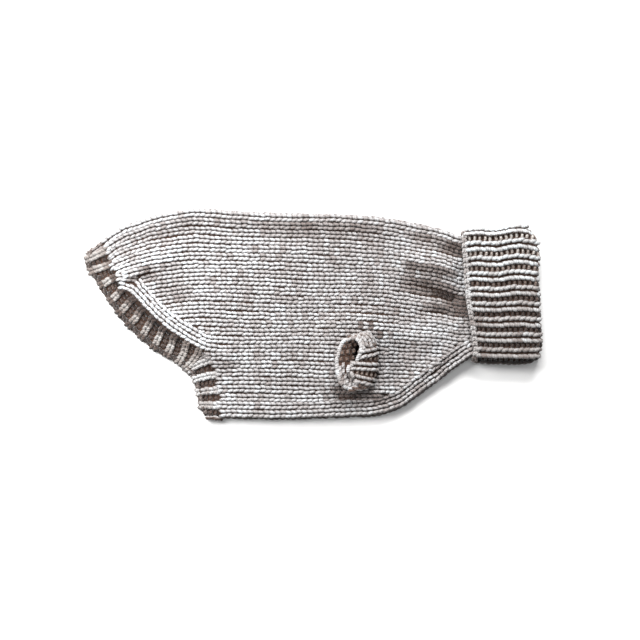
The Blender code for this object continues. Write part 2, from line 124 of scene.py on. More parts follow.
# The foreleg openings, and the pocket in the body over the left cuff.
LEG_X, LEG_Y = 41.6, -35.6
LEG_HALF_LENGTH, LEG_HALF_WIDTH, LEG_BACK_END = 9.6, 23.0, 19.4
LEFT_CUFF_REACH = 15.0
POCKET_RISE, POCKET_MARGIN, POCKET_CORNER = 5.2, 5.0, 16.0
POCKET_SLOPES = {-1: 11.0, 1: 16.0}

Edge = namedtuple("Edge", "x y")
BACK_LINE = [
    Edge(-170.6, 57.6), Edge(-157, 67.6), Edge(-135, 76.8), Edge(-115, 81.6),
    Edge(-97, 84.2), Edge(-68, 83.2), Edge(-30, 81.4), Edge(5, 80.2),
    Edge(38, 79), Edge(62, 76.4), Edge(85, 71.8), Edge(104, 67.4),
    Edge(117, 62.2), Edge(127, 61.4), Edge(140, 61.2),
]
BELLY_LINE = [
    Edge(-180, -83.6), Edge(-76, -83.6), Edge(-20, -84.4), Edge(30, -82.6),
    Edge(48, -81.8), Edge(62, -78.6), Edge(72, -74.4), Edge(84, -66),
    Edge(100, -54), Edge(115, -42.6), Edge(122, -37.8), Edge(129, -33.6),
    Edge(140, -32.6),
]
Rear = namedtuple("Rear", "cloth_x cloth_y rim_x rim_y")
REAR = [
    Rear(-170.6, 57.6, -180.6, 49.4), Rear(-165.4, 43.6, -183, 38.8),
    Rear(-159.2, 30.8, -175, 26.2), Rear(-151.2, 18, -164.8, 9.8),
    Rear(-138.4, 4.4, -153.2, -6.2), Rear(-125.6, -6.8, -139.4, -20.4),
    Rear(-112, -17.2, -124.6, -31.8), Rear(-98.4, -25.2, -111, -39.6),
    Rear(-86.4, -32.4, -103.5, -45), Rear(-80, -42.8, -98.2, -50.4),
    Rear(-77.6, -54, -95.2, -58.6), Rear(-76.4, -66.8, -92.8, -69),
    Rear(-76.1, -75.4, -91.2, -75.8), Rear(-76, -83.6, -85.2, -82.8),
]
FLANK_ROW = 8
Fold = namedtuple("Fold", "from_x from_y to_x to_y half_width rise")
FOLDS = [
    Fold(-148, 20, -138, 10, 9, 4), Fold(-126, -2, -106, -15, 10, 4.6),
    Fold(-91, -24, -70, -33, 9, 3.6), Fold(-153, 32, -115, 46, 9, 2.8),
    Fold(-153, 23, -132, 29.5, 3.6, -2.6), Fold(-130, 19, -103, 12, 8, -1.7),
    Fold(98, 50, 98, -18, 19, 3.2), Fold(85, 60, 124, 46, 6.5, -5.2),
    Fold(79, 43, 122, 33, 7, 4.6), Fold(76, 22, 125, 6, 6, -6.2),
    Fold(86, 1, 125, -1, 5, -4.2), Fold(46, -10, 92, -20, 9, 2.4),
    Fold(62, -66, 110, -32, 7, 2.6), Fold(42, -66, 22, -64.5, 5.5, -4.4),
    Fold(-148, 56, -96, 68, 8, -1.3), Fold(-60, 68, 48, 64, 8, -1.3),
]
COLLAR_FREE_EDGE = [
    Edge(128.2, -38), Edge(128.8, -30), Edge(127.6, -17), Edge(124, 4),
    Edge(121.6, 30), Edge(119.2, 66),
]


def smooth(share):
    share = np.clip(share, 0.0, 1.0)
    return share * share * (3 - 2 * share)


def mix(first, second, share):
    return first + (second - first) * share


def through(keys, values, at):
    """A smooth curve through some values: cubic between them, each slope taken from its neighbours."""
    keys, values = np.asarray(keys, float), np.asarray(values, float)
    at = np.clip(at, keys[0], keys[-1])
    slopes = np.gradient(values, keys)
    i = np.clip(np.searchsorted(keys, at, side="right") - 1, 0, len(keys) - 2)
    step = keys[i + 1] - keys[i]
    t = (at - keys[i]) / step
    return (
        values[i] * (1 + 2 * t) * (1 - t) ** 2
        + values[i + 1] * t * t * (3 - 2 * t)
        + step * t * (1 - t) * (slopes[i] * (1 - t) - slopes[i + 1] * t)
    )


def column(table, name):
    return [getattr(row, name) for row in table]


def read_off(table, key, name, at):
    """A table's values, read off the smooth curve through its rows."""
    return through(column(table, key), column(table, name), at)


def line_y(line, x):
    return read_off(line, "x", "y", x)


def free_edge_x(y):
    return read_off(COLLAR_FREE_EDGE, "y", "x", y)


def run_along(path):
    """Length of a path of points up to each of them."""
    return np.concatenate([[0.0], np.cumsum(np.linalg.norm(np.diff(path, axis=0), axis=1))])


rear_run = run_along(np.array([(row.cloth_x, row.cloth_y) for row in REAR]))
REAR_SHARES = rear_run / rear_run[-1]


def plan(u, share):
    """A place in the flat outline: u is 0 at the cloth's rear end, 1 at the neck seam, -1 at the bands'
    rim; share goes from the back fold to the belly fold."""
    cloth_x, cloth_y, rim_x, rim_y = (
        through(REAR_SHARES, column(REAR, name), share) for name in Rear._fields
    )
    front = np.clip(u, 0, 1)
    neck_x = free_edge_x(mix(BACK_LINE[-1].y, BELLY_LINE[-1].y, share)) + COLLAR_OVERLAP
    x = mix(cloth_x, neck_x, front)
    rear_back, rear_belly = line_y(BACK_LINE, cloth_x), line_y(BELLY_LINE, cloth_x)
    fraction = mix((rear_back - cloth_y) / (rear_back - rear_belly), share, smooth(front / 0.45))
    y = mix(line_y(BACK_LINE, x), line_y(BELLY_LINE, x), fraction)
    back = np.clip(-u, 0, 1)
    return mix(x, rim_x, back), np.where(u > 0, y, mix(cloth_y, rim_y, back))


def width_at(u, steps=16):
    """The tube's flat width at u, from fold to fold."""
    points = [plan(u, np.full_like(u, share)) for share in np.linspace(0, 1, steps + 1)]
    return sum(np.hypot(b[0] - a[0], b[1] - a[1]) for a, b in zip(points, points[1:]))


def levels_at(x, y):
    """The body's underside and upper side: flat on the table, rising to the neck seam."""
    to_collar = free_edge_x(y) - x - 1.0
    neck_under = COLLAR_LAYER + SEAM
    low = neck_under * smooth(1 - to_collar / NECK_RISE_LENGTH)
    neck_upper = COLLAR_HEIGHT - neck_under
    return low, mix(BODY_HEIGHT, neck_upper, smooth(1 - to_collar / (3 * NECK_RISE_LENGTH)))


def pocket(x, y, side):
    """1 over the left cuff, which lies folded under the body, falling to 0 round it."""
    reach_x = LEG_HALF_LENGTH + LEFT_CUFF_REACH / 2 + POCKET_MARGIN - POCKET_CORNER
    reach_y = LEG_HALF_WIDTH + POCKET_MARGIN - POCKET_CORNER
    off_x = np.maximum(np.abs(x - LEG_X + LEFT_CUFF_REACH / 2) - reach_x, 0)
    off_y = np.maximum(np.abs(y - LEG_Y) - reach_y, 0)
    slope = np.where(side > 0, POCKET_SLOPES[1], POCKET_SLOPES[-1])
    return 1 - smooth((np.hypot(off_x, off_y) - POCKET_CORNER) / slope)


def leg_oval(turn, grow=0.0):
    """The edge of the right foreleg opening, a little blunter at the back end than at the belly end."""
    reach_y = np.where(np.sin(turn) > 0, LEG_BACK_END, LEG_HALF_WIDTH) + grow
    return LEG_X + (LEG_HALF_LENGTH + grow) * np.cos(turn), LEG_Y + reach_y * np.sin(turn)


def folds_rise(x, y):
    total = np.zeros(np.broadcast(x, y).shape)
    for fold in FOLDS:
        along_x, along_y = fold.to_x - fold.from_x, fold.to_y - fold.from_y
        share = ((x - fold.from_x) * along_x + (y - fold.from_y) * along_y) / (along_x**2 + along_y**2)
        share = np.clip(share, 0, 1)
        away = np.hypot(x - fold.from_x - share * along_x, y - fold.from_y - share * along_y)
        deepens = np.where(fold.rise < 0, smooth((share + 0.4) / 0.9), 1.0)
        total = total + fold.rise * deepens * np.exp(-((away / fold.half_width) ** 2))
    return total


def under_lift(x, y, inward):
    return POCKET_RISE * pocket(x, y, -1) * smooth(inward / EDGE_FADE)


def upper_lift(x, y, inward, room):
    """Height of the upper side over its plain level: inward is the distance from the nearest side roll,
    and room is the plain level's air between the two sides."""
    fade = smooth(inward / EDGE_FADE)
    rise = folds_rise(x, y)
    to_edge = free_edge_x(y) - x
    puffs, creases = smooth(to_edge / PUFF_FADE), smooth((to_edge + CREASE_PASS) / CREASE_FADE)
    rise = rise * np.where(rise > 0, puffs, creases)
    lift = (POCKET_RISE * pocket(x, y, 1) + rise) * fade - PRESS * smooth(inward / PRESS_FADE)
    least = under_lift(x, y, inward) + LEAST_GAP - room
    return least + CREASE_SOFTNESS * np.logaddexp(0.0, (lift - least) / CREASE_SOFTNESS)


def lift_at(x, y, inward, low, high, side):
    upper = upper_lift(x, y, inward, high - low - 2 * WALL_INNER)
    return np.where(side > 0, upper, under_lift(x, y, inward))


def skin_z(x, y, side):
    """Height of the body's outer face over a place in its outline; side is 1 above and -1 below."""
    inset = np.minimum(line_y(BACK_LINE, x) - y, y - line_y(BELLY_LINE, x))
    low, high = levels_at(x, y)
    radius = (high - low) / 2
    off = np.clip((radius - inset) / radius, 0, 0.999)
    roll = side * radius * np.sqrt(1 - off**2)
    return (low + high) / 2 + roll + lift_at(x, y, inset - radius, low, high, side)


def tube(u, fold, length, depth):
    """A point of the flattened tube. fold is 1 for the back fold and -1 for the belly fold, length goes
    round the tube from its middle, upper side first when positive, and depth goes in from the face."""
    rim = np.clip(-u, 0, 1)

    def levels(x, y):
        low, high = levels_at(x, y)
        return np.where(u > 0, low, 0.0), np.where(u > 0, high, mix(BODY_HEIGHT, RIM_HEIGHT, rim))

    low, high = levels(*plan(u, np.where(fold > 0, 0.0, 1.0)))
    radius = (high - low) / 2
    turn = np.clip(length / radius, -math.pi / 2, math.pi / 2)
    flat = np.maximum(np.abs(length) - radius * math.pi / 2, 0)
    inset = radius - (radius - depth) * np.cos(turn) + flat
    share = np.clip(inset / width_at(u), 0, 1)
    x, y = plan(u, np.where(fold > 0, share, 1 - share))
    low, high = levels(x, y)
    radius = (high - low) / 2
    z = (low + high) / 2 + (radius - depth) * np.sin(turn)
    lift = lift_at(x, y, inset - radius, low, high, np.where(length > 0, 1, -1))
    return np.stack([x, y, z + lift * (1 - rim)], axis=-1)


def finished_mesh(name, mesh):
    """The finished form of a mesh that was built face by face."""
    bmesh.ops.recalc_face_normals(mesh, faces=mesh.faces[:])
    data = bpy.data.meshes.new(name)
    mesh.to_mesh(data)
    mesh.free()
    data.shade_smooth()
    return data


def with_modifiers(piece):
    """A piece's mesh after its modifiers."""
    return bpy.data.meshes.new_from_object(piece.evaluated_get(bpy.context.evaluated_depsgraph_get()))


def grid_mesh(name, rings, joined=False, caps=False):
    """A mesh object through rings of points, given in millimetres."""
    mesh = bmesh.new()
    rows = [[mesh.verts.new(np.asarray(point) * MM) for point in ring] for ring in rings]
    pairs = list(zip(rows, rows[1:])) + ([(rows[-1], rows[0])] if joined else [])
    for first, second in pairs:
        for i in range(len(first)):
            j = (i + 1) % len(first)
            mesh.faces.new((first[i], first[j], second[j], second[i]))
    if caps:
        mesh.faces.new(rows[0])
        mesh.faces.new(rows[-1])
    return add_object(name, finished_mesh(name, mesh))


def cut_away(piece, rings):
    """Cut a closed shape, given by its rings, out of a piece."""
    cutter = grid_mesh("cutter", rings, caps=True)
    cut = piece.modifiers.new("cut", "BOOLEAN")
    cut.operation, cut.object = "DIFFERENCE", cutter
    cut_mesh = with_modifiers(piece)
    piece.modifiers.clear()
    piece.data = cut_mesh
    bpy.data.objects.remove(cutter)


def leg_hole(low, high, points):
    """Rings of a shape that cuts a foreleg opening, between two heights."""
    x, y = leg_oval(np.linspace(0, 2 * np.pi, points, endpoint=False), -1.2)
    return [np.stack([x, y, np.full_like(x, z)], axis=-1) for z in (low, high)]


# ---- Body: wool and stitches ----
# Three-ply wool, light cool grey, with painted shade in dark brown in the gaps between its stitches.
# Each stitch shows two legs in a V that points to the neck, 16 to 10 cm across and 23 to 10 cm along.

WALE, COURSE = 6.53, 4.35
YARN_RADIUS = 1.42
SHADE_SPREAD, SHADE_LEAST, SHADE_MOST = 0.13, 0.6, 1.3
PLACE_SPREAD = 0.17
TABLE_ROOM = 0.6
LEG_STEPS, LEG_SIDES = 5, 6
FIBRE_SCALE, BLOTCH_SCALE, PATCH_SCALE = 1400.0, 700.0, 170.0


def add_node(tree, kind, feeds=(), **settings):
    """A node with its settings, its inputs fed by values or by the sockets of other nodes."""
    made = tree.nodes.new(kind)
    for name, value in settings.items():
        setattr(made, name, value)
    for socket, feed in dict(feeds).items():
        if isinstance(feed, bpy.types.NodeSocket):
            tree.links.new(feed, made.inputs[socket])
        else:
            made.inputs[socket].default_value = feed
    return made


def maths(tree, operation, *values):
    return add_node(tree, "ShaderNodeMath", dict(enumerate(values)), operation=operation).outputs[0]


def colour_mix(tree, share, first, second, **settings):
    feeds = {"Factor": share, "A": first, "B": second}
    return add_node(tree, "ShaderNodeMix", feeds, data_type="RGBA", **settings).outputs["Result"]


def noise(tree, scale, detail):
    place = add_node(tree, "ShaderNodeTexCoord").outputs["Object"]
    feeds = {"Vector": place, "Scale": scale, "Detail": detail}
    return add_node(tree, "ShaderNodeTexNoise", feeds).outputs["Fac"]


def attribute(tree, name):
    return add_node(tree, "ShaderNodeAttribute", attribute_name=name).outputs["Fac"]


def wool_group():
    """Yarn's colour and its plies: light on top of a stitch, painted shade in dark brown where it goes
    under.
    """
    group = bpy.data.node_groups.new("wool_yarn", "ShaderNodeTree")
    for name, kind, value in (
        ("Light", "NodeSocketColor", (0.60, 0.585, 0.575, 1)),
        ("Gap", "NodeSocketColor", (0.045, 0.026, 0.018, 1)),
        ("Plies", "NodeSocketFloat", 2.0),
        ("Twist", "NodeSocketFloat", 3.0),
    ):
        group.interface.new_socket(name, in_out="INPUT", socket_type=kind).default_value = value
    for name, kind in (("Colour", "NodeSocketColor"), ("Height", "NodeSocketFloat")):
        group.interface.new_socket(name, in_out="OUTPUT", socket_type=kind)
    given = add_node(group, "NodeGroupInput").outputs
    yarn_map = add_node(group, "ShaderNodeUVMap", uv_map="UVMap").outputs[0]
    split = add_node(group, "ShaderNodeSeparateXYZ", {0: yarn_map}).outputs
    around = maths(group, "MULTIPLY", split[0], given["Plies"])
    along = maths(group, "MULTIPLY", split[1], given["Twist"])
    phase = maths(group, "MULTIPLY", maths(group, "ADD", around, along), 2 * math.pi)
    ply = maths(group, "MULTIPLY_ADD", maths(group, "SINE", phase), 0.5, 0.5)
    fibre, patch = noise(group, FIBRE_SCALE, 3.0), noise(group, PATCH_SCALE, 2.0)

    # Colour by depth in the stitch, with painted shade in dark brown where the yarn goes under, times
    # fibres, patches, plies and each stitch's own shade, which also holds painted light and shade.
    reach = {"Value": attribute(group, "top"), "From Min": 0.30, "From Max": 0.92}
    depth = add_node(group, "ShaderNodeMapRange", reach, interpolation_type="SMOOTHSTEP").outputs[0]
    shade = maths(group, "MULTIPLY_ADD", fibre, 0.30, 0.72)
    for factor in (
        maths(group, "MULTIPLY_ADD", patch, 0.30, 0.86),
        maths(group, "MULTIPLY_ADD", ply, 0.16, 0.92),
        attribute(group, "shade"),
    ):
        shade = maths(group, "MULTIPLY", shade, factor)
    # Green and blue fall faster than red, so shaded wool turns warm.
    warm = {i: maths(group, "POWER", shade, power) for i, power in enumerate((1.0, 1.2, 1.29))}
    warm = add_node(group, "ShaderNodeCombineColor", warm).outputs[0]
    colour = colour_mix(group, depth, given["Gap"], given["Light"])
    colour = colour_mix(group, 1.0, colour, warm, blend_type="MULTIPLY")
    height = maths(group, "MULTIPLY_ADD", fibre, 0.45, ply)
    add_node(group, "NodeGroupOutput", {"Colour": colour, "Height": height})
    return group


WOOL = wool_group()


def new_material(name, finish):
    """A material, its node tree and its shader, with the finish set on the shader's own sockets."""
    material = bpy.data.materials.new(name)
    material.use_nodes = True
    shader = material.node_tree.nodes["Principled BSDF"]
    for socket, value in finish.items():
        shader.inputs[socket].default_value = value
    return material, material.node_tree, shader


def wool(name, light, gap_shade, bump=0.7):
    """A yarn material from the wool group, with its own colour and its colour of painted shade in the
    gaps.
    """
    finish = {"Roughness": 0.88, "Sheen Weight": 0.35, "Sheen Roughness": 0.5, "Specular IOR Level": 0.3}
    material, tree, shader = new_material(name, finish)
    yarn = add_node(tree, "ShaderNodeGroup", node_tree=WOOL)
    yarn.inputs["Light"].default_value = (*light, 1)
    yarn.inputs["Gap"].default_value = (*gap_shade, 1)
    feeds = {"Strength": bump, "Distance": 0.0005, "Height": yarn.outputs["Height"]}
    relief = add_node(tree, "ShaderNodeBump", feeds).outputs["Normal"]
    tree.links.new(yarn.outputs["Colour"], shader.inputs["Base Color"])
    tree.links.new(relief, shader.inputs["Normal"])
    return material


def backing(name, light, dark):
    """The wool seen deep between stitches: painted shade in brown, a little blotched, with painted light
    paler along the back fold.
    """
    material, tree, shader = new_material(name, {"Roughness": 0.95, "Specular IOR Level": 0.2})
    brown = colour_mix(tree, noise(tree, BLOTCH_SCALE, 2.0), (*dark, 1), (*light, 1))
    # Painted light: the wall is paler where it faces the dog's back and the window.
    facing = {"Value": attribute(tree, "back"), "From Min": 0.45}
    facing = add_node(tree, "ShaderNodeMapRange", facing).outputs[0]
    colour = colour_mix(tree, facing, brown, (0.26, 0.245, 0.235, 1))
    tree.links.new(colour, shader.inputs["Base Color"])
    return material


def clad(piece, material):
    """Give a wall its material, and mark how far each point of it faces the dog's back, for the
    backing's painted light.
    """
    data = piece.data
    normals = np.empty(3 * len(data.vertices))
    data.vertices.foreach_get("normal", normals)
    back = data.attributes.new("back", "FLOAT", "POINT")
    back.data.foreach_set("value", np.clip(normals[1::3], 0, 1))
    data.materials.clear()
    data.materials.append(material)


# The gap colour and the backing are painted shade, dark brown between the stitches.
body_wool = wool("body_wool", (0.425, 0.427, 0.437), (0.045, 0.021, 0.013))
body_backing = backing("body_backing", (0.045, 0.027, 0.020), (0.025, 0.015, 0.011))


def yarn_piece(name, strands, sides=LEG_SIDES):
    """A stitch's mesh: each strand is a row of (across, along, out, radius) in millimetres."""
    mesh = bmesh.new()
    map_layer = mesh.loops.layers.uv.new("UVMap")
    # top: how high each point stands in the stitch, for the painted shade where the yarn goes under.
    top_layer = mesh.verts.layers.float.new("top")
    heights = [row[2] for strand in strands for row in strand]
    low, depth = min(heights), max(heights) - min(heights) + YARN_RADIUS
    for strand in strands:
        rows = np.array(strand)
        lengths = run_along(rows[:, :3])
        rings = []
        for row, way in zip(rows, np.gradient(rows[:, :3], axis=0)):
            way = way / np.linalg.norm(way)
            out = np.array((0, 0, 1.0)) - way * way[2]
            out /= np.linalg.norm(out)
            beside = np.cross(way, out)
            ring = []
            for turn in np.linspace(0, 2 * math.pi, sides, endpoint=False):
                point = row[:3] + (beside * math.cos(turn) + out * math.sin(turn)) * row[3]
                vert = mesh.verts.new(point * MM)
                vert[top_layer] = (point[2] - low) / depth
                ring.append(vert)
            rings.append(ring)
        for step, (first, second) in enumerate(zip(rings, rings[1:])):
            for i in range(sides):
                j = (i + 1) % sides
                face = mesh.faces.new((first[j], first[i], second[i], second[j]))
                corners = ((i + 1, step), (i, step), (i, step + 1), (i + 1, step + 1))
                for loop, (turned, ring_number) in zip(face.loops, corners):
                    loop[map_layer].uv = (turned / sides, lengths[ring_number] / COURSE)
        for ring in (rings[0][::-1], rings[-1]):
            mesh.faces.new(ring)
    return bpy.data.objects.new(name, finished_mesh(name, mesh))


def vee_strands(width, height, steps=LEG_STEPS, radius=YARN_RADIUS, narrow=0.165, wide=0.335):
    """The two legs of a knit stitch, spreading from its foot, which tucks under the stitch before it."""
    strands = []
    for hand in (-1, 1):
        strand = []
        for t in np.linspace(0, 1, steps):
            across, along = hand * width * mix(narrow, wide, t), height * mix(-0.62, 0.74, t)
            out, thick = 0.25 - 4.8 * (t - 0.49) ** 2, radius * (1 - 0.30 * (2 * t - 1) ** 2)
            strand.append((across, along, out, thick))
        strands.append(strand)
    return strands


def bar_strands(width, radius):
    """The bump of a purl stitch: a short arch across the column."""
    strand = []
    for t in np.linspace(-1, 1, LEG_STEPS):
        strand.append((width * 0.5 * t, -0.9 * t * t, 0.2 - 1.1 * t * t, radius * (1 - 0.25 * t * t)))
    return [strand]


def roll_strands(length, radius):
    """One stitch of a rim that has rolled over: a short soft swelling of the cord along the edge."""
    spread = np.linspace(-1, 1, LEG_STEPS)
    return [[(0.0, length / 2 * t, -0.35 * t * t, radius * (1 - 0.28 * t * t)) for t in spread]]


def stitch_tree():
    """Geometry nodes: a stitch on every point, turned to its column and face, then made real."""
    tree = bpy.data.node_groups.new("lay_stitches", "GeometryNodeTree")
    face = tree.interface
    for name, kind in (("Geometry", "Geometry"), ("Stitch", "Object"), ("Wool", "Material")):
        face.new_socket(name, in_out="INPUT", socket_type="NodeSocket" + kind)
    face.new_socket("Unevenness", in_out="INPUT", socket_type="NodeSocketFloat").default_value = 0.06
    face.new_socket("Seed", in_out="INPUT", socket_type="NodeSocketInt").default_value = 3
    face.new_socket("Geometry", in_out="OUTPUT", socket_type="NodeSocketGeometry")
    given = add_node(tree, "NodeGroupInput").outputs

    def stored(name):
        kind = "GeometryNodeInputNamedAttribute"
        return add_node(tree, kind, {"Name": name}, data_type="FLOAT_VECTOR").outputs["Attribute"]

    def vectors(operation, *values):
        feeds = dict(enumerate(values))
        return add_node(tree, "ShaderNodeVectorMath", feeds, operation=operation).outputs[0]

    def uneven(offset, gain, middle):
        """A random vector about a middle, its spread set by Unevenness."""
        spread = maths(tree, "MULTIPLY", given["Unevenness"], gain)
        seed = maths(tree, "ADD", given["Seed"], offset)
        feeds = {"Min": (-1, -1, -1), "Max": (1, 1, 1), "Seed": seed}
        chance = add_node(tree, "FunctionNodeRandomValue", feeds, data_type="FLOAT_VECTOR").outputs[0]
        return vectors("MULTIPLY_ADD", chance, spread, (middle,) * 3)

    facing = {"Primary Axis": stored("out"), "Secondary Axis": stored("along")}
    facing = add_node(tree, "FunctionNodeAxesToRotation", facing, primary_axis="Z", secondary_axis="Y")
    wobble = add_node(tree, "FunctionNodeEulerToRotation", {0: uneven(11, 1.6, 0.0)})
    feeds = {0: facing.outputs[0], 1: wobble.outputs[0]}
    turned = add_node(tree, "FunctionNodeRotateRotation", feeds, rotation_space="LOCAL")
    stitch = add_node(tree, "GeometryNodeObjectInfo", {"Object": given["Stitch"]})
    feeds = {
        "Points": given["Geometry"],
        "Instance": stitch.outputs["Geometry"],
        "Rotation": turned.outputs[0],
        "Scale": vectors("MULTIPLY", stored("size"), uneven(23, 1.0, 1.0)),
    }
    laid = add_node(tree, "GeometryNodeInstanceOnPoints", feeds)
    real = add_node(tree, "GeometryNodeRealizeInstances", {0: laid.outputs[0]})
    feeds = {"Geometry": real.outputs[0], "Material": given["Wool"]}
    painted_shade_factor = add_node(tree, "GeometryNodeSetMaterial", feeds)
    add_node(tree, "NodeGroupOutput", {0: painted_shade_factor.outputs[0]})
    return tree


STITCH_TREE = stitch_tree()


def unit(vectors):
    return vectors / np.maximum(np.linalg.norm(vectors, axis=-1, keepdims=True), 1e-9)


def lay_stitches(name, stitch, rows, material, seed, unevenness=0.06):
    """Stitches as one mesh. rows holds arrays (places, along, out, size, tone), places in millimetres;
    tone is how light the wool is painted, for painted light and shade, 1 when it isn't given."""
    rows = [row if len(row) == 5 else (*row, np.ones(len(row[0]))) for row in rows]
    places, along, out, size, tone = (np.concatenate(part) for part in zip(*rows))
    data = bpy.data.meshes.new(name)
    chance = np.random.default_rng(seed)
    places = places + chance.normal(0.0, PLACE_SPREAD, places.shape)
    data.from_pydata((places * MM).tolist(), [], [])
    shade = np.clip(chance.normal(1.0, SHADE_SPREAD, len(places)), SHADE_LEAST, SHADE_MOST) * tone
    data.attributes.new("shade", "FLOAT", "POINT").data.foreach_set("value", shade)
    for label, values in (("along", along), ("out", out), ("size", size)):
        data.attributes.new(label, "FLOAT_VECTOR", "POINT").data.foreach_set("vector", values.ravel())
    points = add_object(name + "_points", data)
    modifier = points.modifiers.new("stitches", "NODES")
    modifier.node_group = STITCH_TREE
    given = {"Stitch": stitch, "Wool": material, "Unevenness": unevenness, "Seed": seed}
    for item in STITCH_TREE.interface.items_tree:
        if item.in_out == "INPUT" and item.name in given:
            modifier[item.identifier] = given[item.name]
    mesh = with_modifiers(points)
    mesh.name = name
    bpy.data.objects.remove(points)
    # Wool that would sink into the table is pressed flat on it.
    spots = np.empty(len(mesh.vertices) * 3)
    mesh.vertices.foreach_get("co", spots)
    height = spots[2::3] / MM
    pressed = TABLE_ROOM * np.exp(np.minimum(height / TABLE_ROOM - 1, 0))
    spots[2::3] = np.where(height < TABLE_ROOM, pressed, height) * MM
    mesh.vertices.foreach_set("co", spots)
    for label in ("along", "out", "size"):
        if label in mesh.attributes:
            mesh.attributes.remove(mesh.attributes[label])
    return add_object(name, mesh)


def painted_belly_shade(out, strength):
    """Painted shade on the wool: darker where it faces the belly, away from the window, at once when
    strength is near 1.
    """
    soon, late = smooth((-out[:, 1] - 0.06) / 0.42), smooth((-out[:, 1] - 0.3) / 0.5)
    return 1 - strength * soon - 0.5 * (1 - strength) * late


def sized(count, across, along, out):
    return np.tile((across, along, out), (count, 1))


def dress(cloth, node, slot, layers, **sheet):
    """Lay stitches on a wall, which with them stands for one piece of the solid model. A layer is the
    end of its name, then what lay_stitches takes: stitch, rows, material and seed."""
    stitches = [lay_stitches(f"{node}_{label}", *facts) for label, *facts in layers]
    for piece in [cloth] + stitches:
        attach(piece, "root")
    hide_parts(node)


# The tube's thin wall: a closed shell, its outer face a yarn's half under the solid's. Its rings lie
# closer at both ends.
FULL_RINGS = 60
even = np.linspace(0, 1, FULL_RINGS)
outer_rings, inner_rings = [], []
for u in mix(even, (1 - np.cos(np.pi * even)) / 2, 0.45):
    u = np.array(u)
    low, high = levels_at(*plan(u, np.array(0.5)))
    radius = (high - low) / 2
    roll = radius * math.pi / 2
    half_side = np.linspace(width_at(u) / 2 - radius + roll, roll, 18)
    back_half = np.concatenate([half_side, np.linspace(roll, -roll, 9)[1:-1], -half_side[::-1]])
    lengths = np.concatenate([back_half, -back_half[1:-1]])
    folds = np.repeat([1.0, -1.0], [len(back_half), len(back_half) - 2])
    us = np.full(len(lengths), float(u))
    outer_rings.append(tube(us, folds, lengths, WALL_DEPTH))
    inner_rings.append(tube(us, folds, lengths, WALL_INNER))
body = grid_mesh("body_cloth", outer_rings + inner_rings[::-1], joined=True)
middle_height = POCKET_RISE + BODY_HEIGHT / 2
for low, high in ((middle_height, 40.0), (-10.0, middle_height)):
    cut_away(body, leg_hole(low, high, 40))
clad(body, body_backing)

# Columns of stitches. The hem line and the chest line each have columns that run along them, and the
# columns that meet those end there.
HEM_GUIDE = [
    Edge(-160, 19), Edge(-151, 18.6), Edge(-144, 15), Edge(-136.4, 6.6),
    Edge(-124.8, -5.2), Edge(-111.2, -15.6), Edge(-97.6, -23.6), Edge(-86, -29.2),
    Edge(-77, -30.2), Edge(-66.4, -30.8), Edge(-42, -31.2),
]
LAST_COLUMN, FIRST_CHEST_COLUMN = 26, 24
HEM_COLUMNS = (17, 16)
HEM_COLUMNS_PART_X, CROSSED_COLUMNS_END_X = -60.0, -85.0
COLUMN_ROOM = 0.25
REAR_END_X, WIDEST_X, SHOULDER_X, FRONT_END_X = -172.0, 5.0, 20.0, 138.0
TILT_STEP = 0.25
EYELETS = [Edge(38.4, -8.6), Edge(47.6, -9.0), Edge(52.6, -16.6)]
EYELET_RADIUS, EYELET_PAINTED_SHADE = 3.4, 0.34
# Painted light and shade on the body's wool: lighter at the rump and on ridges, darker at the neck, in
# creases, at the eyelets and on the belly fold.
RUMP_PAINTED_LIGHT, NECK_PAINTED_SHADE = 1.1, 0.91
CREASE_PAINTED_SHADE, RIDGE_PAINTED_LIGHT = 0.72, 0.20
BELLY_FOLD_PAINTED_SHADE = 0.6
Sink = namedtuple("Sink", "upper under back_fold belly_fold")
SINK = Sink(0.95, 1.45, 1.4, 1.3)


def inset_of(arc):
    """How far in from a fold's line a length round the fold reaches."""
    radius = BODY_HEIGHT / 2
    quarter = radius * math.pi / 2
    rolled = radius * (1 - np.cos(np.minimum(arc, quarter) / radius))
    return np.where(arc < quarter, rolled, radius + arc - quarter)


def slant(line, x):
    """How much longer a line is than its reach along x."""
    return np.sqrt(1 + (line_y(line, x + 0.5) - line_y(line, x - 0.5)) ** 2)


def column_y(number, x):
    """The middle line of a column over the outline, before it is cut where others cross it."""
    if number >= FIRST_CHEST_COLUMN:
        return line_y(BELLY_LINE, x) + inset_of((LAST_COLUMN - number) * WALE) * slant(BELLY_LINE, x)
    back, belly = line_y(BACK_LINE, x), BELLY_LINE[0].y
    narrowing = (back - belly) / (line_y(BACK_LINE, WIDEST_X) - belly)
    y = back - inset_of(number * WALE) * narrowing
    if number in HEM_COLUMNS:
        rise = (HEM_COLUMNS.index(number) + 0.5) * WALE
        beside = line_y(HEM_GUIDE, x) + rise * slant(HEM_GUIDE, x)
        y = mix(beside, y, smooth((x + 70.0) / 26.0))
    return y


rear_curve_x, rear_curve_y = plan(np.zeros(200), np.linspace(0, 1, 200))


